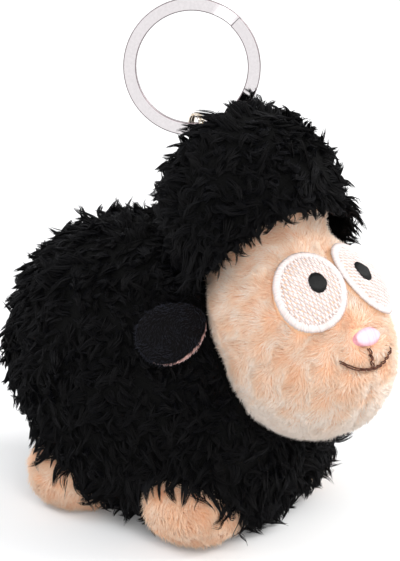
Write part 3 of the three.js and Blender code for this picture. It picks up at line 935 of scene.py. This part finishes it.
def mouth_distance(points):
    """How far points of the face lie from the mouth's line."""
    x, y = spots_of(MOUTH_PLACE, points).T
    angle = np.clip(np.arctan2(x, SMILE_RADIUS - y), -SMILE_ANGLE, SMILE_ANGLE)
    arc = np.sin(angle) * SMILE_RADIUS, SMILE_RADIUS - np.cos(angle) * SMILE_RADIUS
    return np.minimum(np.hypot(x - arc[0], y - arc[1]), np.hypot(x, y - np.clip(y, 0, MOUTH_DROP)))


# Cloth of the stuffed forms


def seamed_face(points):
    """A face drawn in along the mouth's line and along a shallow seam down the chin."""
    local = own_axes(HEAD, points)
    front = local[:, 1] < 0
    below = smooth(-local[:, 2] / HEAD_SIZE[2], *CHIN_SEAM_SHARES) * front
    seam = np.exp(-((local[:, 0] / SEAM_WIDTHS["chin"]) ** 2)) * below
    crease = np.exp(-((mouth_distance(points) / SEAM_WIDTHS["mouth"]) ** 2)) * front
    depth = np.maximum(seam, crease) * SEAM_DEPTH
    return points - depth[:, None] * outward(HEAD, points)


def feet_distance(points):
    return np.min([outside(form, points) for form in FOOT_FORMS.values()], axis=0)


def over_front_feet(points):
    """1 on the body straight above the front feet, to 0 beside them and well above."""
    share = np.zeros(len(points))
    for side, sign in SIDES.items():
        angle = FEET["front"][2]
        beside = np.array([math.cos(angle), sign * math.sin(angle), 0])
        aside = np.abs((points - FOOT_FORMS["front", side]["middle"]) @ beside)
        in_front = points[:, 1] < BODY["middle"][1]
        share += (1 - smooth(aside, *LEDGE_HALF_WIDTHS)) * in_front
    low, high = smooth(points[:, 2], *LEDGE_HEIGHTS[:2]), smooth(points[:, 2], *LEDGE_HEIGHTS[2:])
    return np.minimum(share, 1) * low * (1 - high)


def belly_height(points):
    """How low the belly hangs: lower in front than between the hind feet."""
    front, hind = BELLY_HEIGHTS
    return front + (hind - front) * smooth(points[..., 1], *BELLY_PLACES)


def body_shape(points):
    """The body's cloth: full low down, slimmer at the back and neck, pressed by the ears."""
    _, behind, height = own_axes(BODY, points).T
    low, high = 1 - smooth(height, *RUMP_HEIGHTS), 1 - smooth(height, *BACK_HEIGHTS)
    swell = smooth(behind, *RUMP_PLACES) * (RUMP_SWELL * low - BACK_DROP * (1 - low) * high)
    hem, low = 1 - smooth(height, *CHEST_HEM), 1 - smooth(height, *CHEST_HEIGHTS)
    chest = CHEST_SWELL * hem - CHEST_DROP * (1 - hem) * low
    swell += smooth(-behind, *CHEST_PLACES) * smooth(feet_distance(points), *FOOT_GAP) * chest
    swell += LEDGE_SWELL * over_front_feet(points)
    swell -= NECK_PINCH * (1 - smooth(outside(HEAD, points), *NECK_REACH))
    points = pressed_by_ears(points + outward(BODY, points) * swell[:, None])
    points[:, 2] = np.maximum(points[:, 2], belly_height(points))
    return points


def hood_shape(points):
    """The hood's cloth, drawn in where the ribbon is sewn to it and at the neck."""
    depth = (1 - smooth(norms(points - RIBBON_CROWN), *DIMPLE_EDGE)) * DIMPLE_DEPTH
    depth += NECK_PINCH * (1 - smooth(outside(BODY, points), *NECK_REACH))
    return pressed_by_ears(points - outward(HEAD, points) * depth[:, None])


def out_of_head(points):
    return outside(HEAD, points) > -BODY_TUCK


def out_of_body(points):
    return outside(BODY, points) > -BODY_TUCK


def face_kept(points):
    return (outside(OPENING, points) < FACE_TUCK) & (outside(BODY, points) > -HEAD_TUCK)


def hood_kept(points):
    return (outside(OPENING, points) > -HOOD_HEM) & (outside(BODY, points) > -HEAD_TUCK)


BODY_CLOTH = skin("body_cloth", BODY, CLOTH_DETAIL, BODY_SKIN, out_of_head, body_shape)
FACE_CLOTH = skin("face_cloth", HEAD, FACE_DETAIL, FACE_SKIN, face_kept, seamed_face)
HOOD_CLOTH = skin("hood_cloth", HEAD, CLOTH_DETAIL, HOOD_SKIN, hood_kept, hood_shape)
dress(BODY_CLOTH, FLEECE_CLOTH, replaces=["body_cover"])
dress(FACE_CLOTH, PLUSH_CLOTH, replaces=["face_cover"])
dress(HOOD_CLOTH, FLEECE_CLOTH, replaces=["wool_cap"])

FOOT_CLOTHS = {}
for (end, side), form in FOOT_FORMS.items():
    name = f"foot_{end}_{side}"
    cloth = skin(
        f"{name}_cloth", form, FOOT_DETAIL, FOOT_SKINS[end], out_of_body, above_floor
    )
    dress(cloth, PLUSH_CLOTH, replaces=[f"{name}_cover"])
    FOOT_CLOTHS[end, side] = cloth


# Shaggy fleece


def lock_shapes(ranges, leader, near, roots, rng):
    """Shapes of locks, alike within a tuft, with some strays that stand up more."""
    count = len(roots)
    shape = random_shape(rng, count, ranges)
    shape = {name: values[leader] for name, values in shape.items()}
    shape["length"] *= rng.uniform(*LOCK_SCALE, count)
    stray = rng.random(count) < STRAY_SHARE
    shape["lean"] = np.where(stray, shape["lean"] * STRAY_LEAN_SHARE, shape["lean"])
    longer = LONGER_SHARES["swirl"] * swirl(roots, *LONGER_PATCHES)
    shape["length"] *= 1 + longer + LONGER_SHARES["edge"] * near
    return shape


def fleece_locks(cloth, edge, ranges, rng, per_mm2=LOCKS_PER_MM2):
    """Wavy, pointed locks of fine hairs that swirl over the cloth and hang over its edge."""
    roots, normals = scatter(cloth, per_mm2 * QUICK_SHARE, rng)
    count = len(roots)
    leader = tufts_of(roots, rng)
    angles = swirl(roots, SWIRL_SIZE) * SWIRL_TURN + rng.normal(0, SWIRL_JITTER, count)
    headings = turned(FLEECE_WAY + normals * WAY_NUDGE, normals, angles[leader])
    near, ways = edge(roots)
    headings = unit(headings + ways * near[:, None] * EDGE_PULL)
    shape = lock_shapes(ranges, leader, near, roots, rng)
    guides = grow(roots - normals * LOCK_ROOT, normals, headings, shape, len(LOCK_PROFILE) - 1)
    share = np.linspace(0, 1, len(LOCK_PROFILE))
    guides = guides + (guides[leader] - guides) * TUFT_PULL * share[None, :, None]
    paths = gathered(guides, normals, rng)
    lightness = np.repeat(rng.uniform(*LIGHTNESS, count)[leader], HAIRS_PER_LOCK)
    lightness += rng.uniform(-LIGHTNESS_JITTER, LIGHTNESS_JITTER, len(lightness))
    tints = np.clip(lightness[:, None] + share[None] * TIP_LIGHTER, 0, 1)
    return paths, tapered(len(paths), LOCK_PROFILE, HAIR_RADIUS, rng), tints


def pile_pieces(name, pile, keep, material, most=HAIRS_PER_PIECE):
    """Pieces of the pile that is kept, side by side round the object, of about `most` hairs."""
    pile = [values[keep] for values in pile]
    roots = pile[0][:, 0]
    x, y, _ = (roots - roots.mean(0)).T
    order = np.argsort(np.arctan2(y, x))
    for number, pick in enumerate(np.array_split(order, math.ceil(len(order) / most))):
        item = tubes(f"{name}_{number + 1}", *(values[pick] for values in pile))
        dress(item, material)


def above_feet(points):
    """1 close to a foot to 0 well above it, and the way that fleece hangs there."""
    return 1 - smooth(feet_distance(points), *FOOT_EDGE), copies(-UP, len(points))


def lifted(paths):
    """Hairs drawn shorter where they hang too low under the belly."""
    drop = paths[:, 0, 2] - paths[..., 2].min(1)
    room = np.maximum(paths[:, 0, 2] - belly_height(paths[:, 0]) + BELLY_DROP, LEAST_DROP)
    return shortened(paths, np.minimum(1, room / np.maximum(drop, TINY)))


def body_fleece():
    rng = np.random.default_rng(SEEDS["body"])
    paths, radii, tints = fleece_locks(BODY_CLOTH, above_feet, BODY_LOCKS, rng)
    keep = outside(HEAD, paths[:, 0]) > NECK_GAP
    for (end, _), form in FOOT_FORMS.items():
        keep &= outside(form, paths[:, 0]) > -FOOT_COVERED[end]
    paths = lifted(draped(paths, HEAD, DRAPE["head"]))
    before = lengths(paths)
    for form in FOOT_FORMS.values():
        paths = draped(paths, form, DRAPE["foot"])
    keep &= clear_of_ears(paths, EAR_GAP) & (lengths(paths) < before * MOST_STRETCH)
    pile_pieces("body_fleece", (paths, radii, tints), keep, FLEECE_HAIR)


def near_hardware(paths):
    """Hairs that would lie in the link, or in the key ring's band as the link swings back."""
    touched = norms(paths - LINK_MIDDLE) < LINK_WINDING["radius"] + LINK_GAP
    for swing in BACK_SWINGS:
        turn = np.array(Matrix.Rotation(swing, 3, Vector(LINK_JOINT["axis"])))
        offset = (paths - RIBBON_CROWN) @ turn + RIBBON_CROWN - RING_MIDDLE
        height = offset @ RING_NORMAL
        radial = norms(offset - height[..., None] * RING_NORMAL) - RING_WINDING["radius"]
        in_depth = np.abs(height) < RING_ROOM["half_depth"]
        touched |= in_depth & (np.abs(radial) < RING_ROOM["half_band"])
    return touched.any(1)


def behind_opening(points):
    """1 at the hood's edge to 0 well behind it, and the way to the face there."""
    near = 1 - smooth(outside(OPENING, points), *HOOD_EDGE)
    return near, -outward(OPENING, points)


def fringed(paths):
    """Hairs drawn shorter where their tips reach too far over the face."""
    high = smooth(own_axes(HEAD, paths[:, 0])[:, 2], *FRINGE_HEIGHTS)
    reach = FRINGE[0] + (FRINGE[1] - FRINGE[0]) * high
    depth = np.maximum(-outside(OPENING, paths).min(1), 0)
    return shortened(paths, np.minimum(1, reach / np.maximum(depth, TINY)))


def hood_fleece():
    rng = np.random.default_rng(SEEDS["hood"])
    all_over = fleece_locks(HOOD_CLOTH, behind_opening, HOOD_LOCKS, rng)
    fringe = fleece_locks(HOOD_CLOTH, behind_opening, HOOD_LOCKS, rng, FRINGE_LOCKS_PER_MM2)
    at_edge = outside(OPENING, fringe[0][:, 0]) < FRINGE_DEPTH
    pile = [np.concatenate([own, extra[at_edge]]) for own, extra in zip(all_over, fringe)]
    roots = pile[0][:, 0]
    keep = (outside(OPENING, roots) > -HOOD_HEM) & (outside(BODY, roots) > -HOOD_COVERED)
    paths, radii, tints = (values[keep] for values in pile)
    parted = 1 - smooth(norms(paths[:, 0] - RIBBON_CROWN), *LINK_PARTING)
    paths = shortened(paths, 1 - PARTED_SHORTER * parted)
    paths = fringed(draped(paths, HEAD, DRAPE["hood"]))
    keep = clear_of_ears(paths, EAR_GAP) & ~near_hardware(paths)
    pile_pieces("hood_fleece", (paths, radii, tints), keep, FLEECE_HAIR)


# Short pile


def nap(cloth, headings_of, rng, per_mm2, length, radius, swirls, lean=NAP_LEAN, painted_light=None):
    """Short brushed pile that follows headings, with patches that lie a little apart."""
    roots, normals = scatter(cloth, per_mm2 * QUICK_SHARE, rng)
    count = len(roots)
    patches = swirl(roots, *NAP_PATCHES["turn"])
    headings = turned(headings_of(roots), normals, patches * swirls)
    shape = random_shape(rng, count, {"length": length, "lean": lean, **NAP_BENDS})
    shape["length"] *= 1 + NAP_LONGER_SHARE * swirl(roots, *NAP_PATCHES["length"])
    paths = grow(roots - normals * NAP_ROOT, normals, headings, shape, len(NAP_PROFILE) - 1)
    tone = NAP_TONE + NAP_TONE_CHANGE * swirl(roots, *NAP_PATCHES["tone"])
    tone = tone + rng.uniform(*NAP_TONE_JITTER, count)
    # Painted light: the tone is raised or lowered here, for the bounce light on the chin and the shade
    # on the feet
    if painted_light:
        tone += painted_light(roots)
    share = np.linspace(0, 1, len(NAP_PROFILE))
    tints = np.clip(tone[:, None] + share[None] * NAP_TIP_LIGHTER, 0, 1)
    return paths, tapered(count, NAP_PROFILE, radius, rng), tints


def face_headings(points):
    return unit(points - NOSE_PLACE[0]) - UP * FACE_NAP_DROP


def painted_bounce_on_chin(points):
    """Painted bounce light: the face's plush is made lighter towards the chin, standing in for the light
    thrown up from the floor.
    """
    return CHIN_PAINTED_BOUNCE * smooth(-own_axes(HEAD, points)[:, 2], *CHIN_HEIGHTS)


def face_plush():
    rng = np.random.default_rng(SEEDS["face"])
    paths, radii, tints = nap(FACE_CLOTH, face_headings, rng, **FACE_NAP, painted_light=painted_bounce_on_chin)
    roots = paths[:, 0]
    keep = outside(OPENING, roots) < -FACE_NAP_EDGE["hood"]
    keep &= outside(BODY, roots) > -FACE_NAP_EDGE["body"]
    for place in EYE_PLACES.values():
        edge = in_oval(place, roots, EYE)
        keep &= edge > EYE_NAP_EDGE[0]
        near = EYE_NAP_SHARE + (1 - EYE_NAP_SHARE) * smooth(edge, *EYE_NAP_EDGE)
        paths = shortened(paths, near)
    keep &= in_oval(NOSE_PLACE, roots, NOSE) > 1.0
    keep &= clear_of_ears(paths, FACE_NAP_EDGE["ear"])
    pile = paths, radii, tints
    pile_pieces("face_plush", pile, keep, PLUSH_HAIR, NAP_HAIRS_PER_PIECE)


def foot_headings(points):
    return unit(points - BODY["middle"]) * (1, 1, 0) - UP * FOOT_NAP_DROP


# Painted shade: the feet's plush is made darker for the shade that the body casts on them
def painted_shade_on_feet(points):
    return -FEET_PAINTED_SHADE


def foot_plush(end, side, rng):
    cloth = FOOT_CLOTHS[end, side]
    paths, radii, tints = nap(cloth, foot_headings, rng, **FOOT_NAP, painted_light=painted_shade_on_feet)
    keep = outside(BODY, paths[:, 0]) > -FOOT_NAP_DEPTHS["body"]
    keep &= paths[:, 0, 2] > FOOT_NAP_DEPTHS["root"]
    keep &= outside(FOOT_FORMS[end, side], paths[:, -1]) > -FOOT_NAP_DEPTHS["tip"]
    paths = above_floor(paths[keep], FOOT_NAP_FLOOR)
    item = tubes(f"foot_{end}_{side}_plush", paths, radii[keep], tints[keep])
    dress(item, PLUSH_HAIR)


# Ears


def soft_copy(node, name, levels):
    """A rounded, finely divided copy of a solid."""
    mesh = frame["nodes"][node].data.copy()
    item = add_object(name, mesh)
    shape = bmesh.new()
    shape.from_mesh(mesh)
    bmesh.ops.remove_doubles(shape, verts=shape.verts, dist=WELD * MM)
    shape.to_mesh(mesh)
    shape.free()
    divide = item.modifiers.new("divide", "SUBSURF")
    divide.levels = levels
    bpy.context.view_layer.update()
    done = bpy.data.meshes.new_from_object(item.evaluated_get(bpy.context.evaluated_depsgraph_get()))
    item.modifiers.clear()
    item.data = done
    done.name = name
    done.shade_smooth()
    return item


def drawn_in(cloth, side):
    """Draws an ear's lining in at the tip and the edge, so that only a thin line of it shows."""
    root, axes = EARS[side]
    local = (read(cloth.data.vertices, "co") / MM - root) @ axes.T
    local[:, 0] += SIDES[side] * LINING_SLIDE
    local[:, 1] *= LINING_SHARE
    write(cloth.data.vertices, "co", (local @ axes + root) * MM)
    cloth.data.update()


EAR_FINISHES = {
    "outer": (VELOUR_CLOTH, VELOUR_HAIR, "black_velour"),
    "lining": (PINK_CLOTH, PINK_HAIR, "pink_velour"),
}


def ear(side, rng):
    """A velour flap and its lining, both with a short nap that runs to the tip."""

    def headings_of(points):
        return copies(-EARS[side][1][1], len(points)) - UP * EAR_NAP_DROP

    for half, (cloth_finish, hair_finish, slot) in EAR_FINISHES.items():
        node = f"ear_{side}_{half}"
        cloth = soft_copy(node, f"{node}_cloth", 2)
        if half == "lining":
            drawn_in(cloth, side)
        pile = nap(cloth, headings_of, rng, length=EAR_NAP_LENGTHS[half], **EAR_NAP)
        dress(cloth, cloth_finish, f"ear_{side}", [node])
        dress(tubes(f"{node}_nap", *pile), hair_finish, f"ear_{side}")


# Embroidery


def stitch_paths(place, starts, ends, base, lift):
    """Threads that rise from the cloth at one spot and go down into it at another."""
    share = np.linspace(0, 1, len(THREAD_PROFILE))
    spots = starts[:, None] + (ends - starts)[:, None] * share[None, :, None]
    rise = np.sqrt(np.sin(np.pi * np.clip(share, THREAD_END_SHARE, 1 - THREAD_END_SHARE)))
    levels = np.tile(base + lift * rise, len(starts))
    return on_face(place, spots.reshape(-1, 2), levels).reshape(len(starts), -1, 3)


def stitched(node, parts, material, rng):
    """A piece of embroidery: groups of threads, each group with its own thickness."""
    name = node.removesuffix("_stitching") + "_stitches"
    paths = np.concatenate([part for part, _ in parts])
    thickness = np.concatenate([np.full(len(part), radius) for part, radius in parts])
    radii = thickness[:, None] * THREAD_PROFILE * rng.uniform(*THREAD_SCALE, (len(paths), 1))
    # Painted shade: the tints are lower at each thread's ends, where it dips into the cloth
    tints = rng.uniform(*THREAD_TINTS, (len(paths), 1)) * THREAD_END_PAINTED_SHADE
    dress(tubes(name, paths, radii, tints, THREAD_SIDES), material, replaces=[node])


def oval_spots(size, count, slant=0.0):
    angle = np.arange(count) / count * TURN + slant
    return circle(angle) * size / 2


def satin_rim(place, size, width, rng):
    """Close stitches across an oval's border, a little aslant and uneven at both edges."""
    slant = RIM_SLANT * TURN / RIM_STITCHES
    inner = oval_spots(size - width * 2, RIM_STITCHES)
    inner *= rng.uniform(*RIM_INNER_SHARES, (RIM_STITCHES, 1))
    outer = oval_spots(size, RIM_STITCHES, slant)
    outer *= rng.uniform(*RIM_OUTER_SHARES, (RIM_STITCHES, 1))
    return stitch_paths(place, inner, outer, *RIM_HEIGHTS)


def rows_of_stitches(place, size, angle, spacing, stitch, base, lift, gap=ROW_GAP):
    """Rows of running stitches that fill an oval, each row half a stitch on from the last."""
    along = circle(angle)
    aside = np.array([-along[1], along[0]])
    half = size / 2
    starts, ends = [], []
    rows = int(half.max() / spacing)
    for row in range(-rows, rows + 1):
        middle = aside * row * spacing
        a = ((along / half) ** 2).sum()
        b = (along * middle / half**2).sum()
        c = ((middle / half) ** 2).sum() - 1
        if b * b <= a * c:
            continue
        root = math.sqrt(b * b - a * c)
        low, high = (-b - root) / a, (-b + root) / a
        steps = math.ceil((half.max() + stitch) / stitch)
        at = stitch * (ROW_START_SHARE + row % 2 / 2 - steps)
        while at < high:
            first, last = max(at + gap, low), min(at + stitch - gap, high)
            if last - first > gap:
                starts.append(middle + along * first)
                ends.append(middle + along * last)
            at += stitch
    return stitch_paths(place, np.array(starts), np.array(ends), base, lift)


def patch(name, place, size, level, material):
    """The cloth under a stitched oval: a thin pad that follows the face."""
    shares = np.arange(1, PATCH_RINGS + 1) / PATCH_RINGS
    rings = [oval_spots(size * share, PATCH_SIDES) for share in shares]
    levels = np.full(1 + PATCH_RINGS * PATCH_SIDES, level, float)
    levels[-PATCH_SIDES:] = FACE_SKIN - PATCH_TUCK
    points = on_face(place, np.concatenate([np.zeros((1, 2)), *rings]), levels)
    faces = [[0, 1 + i, 1 + (i + 1) % PATCH_SIDES] for i in range(PATCH_SIDES)]
    walls, _ = tube_faces(1, PATCH_RINGS, PATCH_SIDES)
    faces += (walls[:, [0, 3, 2, 1]] + 1).tolist()
    dress(mesh_object(name, points, faces), material)


def eyes():
    rng = np.random.default_rng(SEEDS["eyes"])
    for side, place in EYE_PLACES.items():
        patch(f"eye_{side}_ground", place, EYE, EYE_GROUND, PLUSH_CLOTH)
        inner = EYE - EYE_RIM * RIM_INSET_SHARE
        fill = rows_of_stitches(place, inner, FILL_ANGLE, **FILL_ROWS)
        under = rows_of_stitches(place, inner, UNDER_ANGLE, **UNDER_ROWS)
        rim = satin_rim(place, EYE, EYE_RIM, rng)
        threads = [(under, UNDER_THREAD), (fill, FILL_THREAD), (rim, RIM_THREAD)]
        stitched(f"eye_{side}", threads, WHITE_THREAD, rng)
        pupil = rows_of_stitches(PUPIL_PLACES[side], PUPIL, math.pi / 2, **PUPIL_ROWS)
        threads = [(pupil, PUPIL_THREAD)]
        stitched(f"pupil_{side}", threads, BLACK_THREAD, rng)


def running_line(spots, stitch, rng):
    """Starts and ends of stitches along a line, each a little beside the last."""
    total = np.concatenate([[0], np.cumsum(norms(np.diff(spots, axis=0)))])
    count = max(1, round(total[-1] / stitch))
    at = np.linspace(0, total[-1], count + 1)
    knots = np.stack([np.interp(at, total, spots[:, i]) for i in range(2)], axis=1)
    aside = rng.normal(0, MOUTH_JITTER, (count, 2))
    return knots[:-1] + aside, knots[1:] + aside


def nose_and_mouth():
    rng = np.random.default_rng(SEEDS["mouth"])
    nose = rows_of_stitches(NOSE_PLACE, NOSE, math.pi / 2, **NOSE_ROWS)
    patch("nose_ground", NOSE_PLACE, NOSE - NOSE_INSET, 0, PINK_GROUND)
    threads = [(nose, NOSE_THREAD)]
    stitched("nose_stitching", threads, PINK_THREAD, rng)
    angles = np.linspace(-SMILE_ANGLE, SMILE_ANGLE, SMILE_STEPS)
    line = np.stack([np.sin(angles), 1 - np.cos(angles)], axis=1) * SMILE_RADIUS
    lip = np.linspace(0, MOUTH_DROP, LIP_STEPS)[:, None] * (0, 1)
    threads = []
    for beside in (-MOUTH_SPREAD, MOUTH_SPREAD):
        for spots in (line + (0, beside), lip + (beside, 0)):
            starts, ends = running_line(spots, MOUTH_STITCH, rng)
            stitches = stitch_paths(MOUTH_PLACE, starts, ends, *MOUTH_HEIGHTS)
            threads.append((stitches, MOUTH_THREAD))
    stitched("mouth_stitching", threads, BROWN_THREAD, rng)


# Key ring, link and ribbon


def swept(name, path, first, second, outline):
    """A closed solid: an outline carried along a path, on two vectors at each point."""
    wide = first[:, None] * outline[None, :, :1]
    points = path[:, None] + wide + second[:, None] * outline[None, :, 1:]
    walls, caps = tube_faces(1, len(path), len(outline))
    return mesh_object(name, points.reshape(-1, 3), walls.tolist() + caps.tolist())


def rounded_outline(width, height, corner):
    points = []
    for quarter, sign in enumerate([(1, 1), (-1, 1), (-1, -1), (1, -1)]):
        middle = (np.array([width, height]) / 2 - corner) * sign
        for step in range(CORNER_STEPS + 1):
            angle = (quarter + step / CORNER_STEPS) * TURN / 4
            points.append(middle + corner * circle(angle))
    return np.array(points)


def wound(middle, across, up, normal, steps, radius, layers, end, joggle, start):
    """The path of a ring wound twice, and the ways out of it and along its axis."""
    angle = np.linspace(end, 2 * TURN - end, steps)
    layer = smooth(angle, TURN - joggle, TURN + joggle) - 0.5
    turn = angle + start
    radial = np.cos(turn)[:, None] * across + np.sin(turn)[:, None] * up
    axial = copies(normal, steps)
    return middle + radial * radius + axial * (layer * layers)[:, None], radial, axial


def key_ring():
    """A flat strip with bright faces, and rounded edges in a darker steel that is a painted dark
    reflection.
    """
    across = unit(np.cross(UP, RING_NORMAL))
    up = np.cross(RING_NORMAL, across)
    lines = wound(RING_MIDDLE, across, up, RING_NORMAL, RING_STEPS, **RING_WINDING)
    ring = swept("split_ring", *lines, rounded_outline(RING_BAND, RING_STRIP, RING_CORNER))
    dress(ring, POLISHED_STEEL, "split_ring", ["key_ring"])
    # The rounded edges get the darker steel, a painted dark reflection
    ring.data.materials.append(PAINTED_DARK_EDGE)
    for number, face in enumerate(ring.data.polygons):
        straight = number % (CORNER_STEPS + 1) == CORNER_STEPS
        face.use_smooth = not straight
        face.material_index = 0 if straight else 1


def link():
    """A small ring of round wire."""
    sideways = np.cross(LINK_NORMAL, UP)
    lines = wound(LINK_MIDDLE, sideways, UP, LINK_NORMAL, LINK_STEPS, **LINK_WINDING)
    outline = rounded_outline(LINK_WIRE * 2, LINK_WIRE * 2, LINK_WIRE * LINK_ROUND_SHARE)
    dress(swept("link_wire", *lines, outline), WARM_STEEL, "link", ["link_ring"])


def ribbon():
    """A woven loop over the link's wire, with both tails sewn down into the hood."""
    middle = RIBBON_CROWN - UP * RIBBON_BEND
    tail = np.linspace(-RIBBON_TAIL, 0, RIBBON_STEPS["tail"])[:-1]
    angle = np.linspace(0, math.pi, RIBBON_STEPS["arch"])
    right = np.stack([np.full(len(tail), RIBBON_BEND), tail], axis=1)
    arch = circle(angle) * RIBBON_BEND
    line = np.concatenate([right, arch, right[::-1] * (-1, 1)])
    way = unit(np.gradient(line, axis=0))
    path = middle + line[:, :1] * LINK_NORMAL + line[:, 1:] * UP
    first = way[:, 1:] * LINK_NORMAL - way[:, :1] * UP
    second = copies(np.cross(LINK_NORMAL, UP), len(line))
    outline = rounded_outline(RIBBON_THICKNESS, RIBBON_WIDTH, RIBBON_CORNER)
    strap = swept("ribbon_strap", path, first, second, outline)
    dress(strap, RIBBON_CLOTH, replaces=["hanging_loop"])


# What fills the covers


def fillings():
    fills = {"body_fibre_fill": FIBRE, "head_fibre_fill": FIBRE, "body_beans": BEANS}
    fills.update({f"foot_{end}_{side}_fill": FIBRE for end, side in FOOT_FORMS})
    for node, finish in fills.items():
        dress(soft_copy(node, f"{node}_stuffing", 1), finish, replaces=[node])


# Studio


def aim(item, place, way):
    item.location = place
    item.rotation_euler = Vector(way).to_track_quat("-Z", "Y").to_euler()


def camera():
    flat = math.cos(CAMERA_ELEVATION)
    away = (math.sin(CAMERA_AZIMUTH) * flat, -math.cos(CAMERA_AZIMUTH) * flat)
    back = np.array([*away, math.sin(CAMERA_ELEVATION)])
    data = bpy.data.cameras.new("camera")
    data.lens = LENS_PIXELS / PICTURE_HEIGHT * data.sensor_width
    data.shift_x, data.shift_y = (pixels / PICTURE_HEIGHT for pixels in SHIFT_PIXELS)
    data.clip_start = CAMERA_CLIP
    item = add_object("camera", data)
    aim(item, CAMERA_TARGET + back * CAMERA_DISTANCE, -back)
    bpy.context.scene.camera = item


def area_lamp(name, place, size, power, color):
    data = bpy.data.lights.new(name, "AREA")
    data.shape = "DISK"
    data.size = size
    data.energy = power
    data.color = color
    aim(add_object(name, data), place, Vector(LAMP_TARGET) - Vector(place))


def calculated(tree, operation, first, second):
    node = add_node(tree, "Math")
    node.operation = operation
    connect(tree, node, {0: first, 1: second})
    return node.outputs[0]


def seen(tree):
    """1 for rays from the camera and for reflections, else 0."""
    rays = add_node(tree, "LightPath").outputs
    return calculated(tree, "MAXIMUM", rays["Is Camera Ray"], rays["Is Glossy Ray"])


def floor():
    """A pale floor that shows white where nothing shades it."""
    spots = [(-1, -1, 0), (1, -1, 0), (1, 1, 0), (-1, 1, 0)]
    item = mesh_object("floor", np.array(spots) * FLOOR_HALF / MM, [[0, 1, 2, 3]])
    material, tree, shader = new_material("floor", 0.9, specular=0.1)
    shown = seen(tree)
    color = add_node(tree, "Mix")
    color.data_type = "RGBA"
    bounce, plain = ((light, light, light, 1) for light in (FLOOR_BOUNCE, FLOOR_SHOWN))
    connect(tree, color, {"Factor": shown, "A": bounce, "B": plain})
    reach = add_node(tree, "VectorMath")
    reach.operation = "LENGTH"
    connect(tree, reach, {0: add_node(tree, "TexCoord").outputs["Object"]})
    far = add_node(tree, "MapRange", Value=reach.outputs["Value"], **FLOOR_GLOW)
    glow = calculated(tree, "MULTIPLY", shown, far.outputs["Result"])
    shades = {"Base Color": color.outputs["Result"], "Emission Color": (1, 1, 1, 1)}
    connect(tree, shader, {**shades, "Emission Strength": glow})
    item.data.materials.append(material)


def world():
    """White behind the object, and a little less light from all round it."""
    scene = bpy.context.scene
    scene.world = bpy.data.worlds.new("studio")
    scene.world.use_nodes = True
    tree = scene.world.node_tree
    strength = add_node(tree, "Mix", Factor=seen(tree), A=WORLD_LIGHT, B=1.0)
    lit = {"Color": (1, 1, 1, 1), "Strength": strength.outputs["Result"]}
    connect(tree, tree.nodes["Background"], lit)


camera()
world()
floor()
for name, lamp in LAMPS.items():
    area_lamp(name, *lamp)
body_fleece()
hood_fleece()
face_plush()
foot_rng = np.random.default_rng(SEEDS["feet"])
for end, side in FOOT_FORMS:
    foot_plush(end, side, foot_rng)
ear_rng = np.random.default_rng(SEEDS["ears"])
for side in SIDES:
    ear(side, ear_rng)
eyes()
nose_and_mouth()
key_ring()
link()
ribbon()
fillings()

bpy.context.scene.view_settings.view_transform = "Standard"
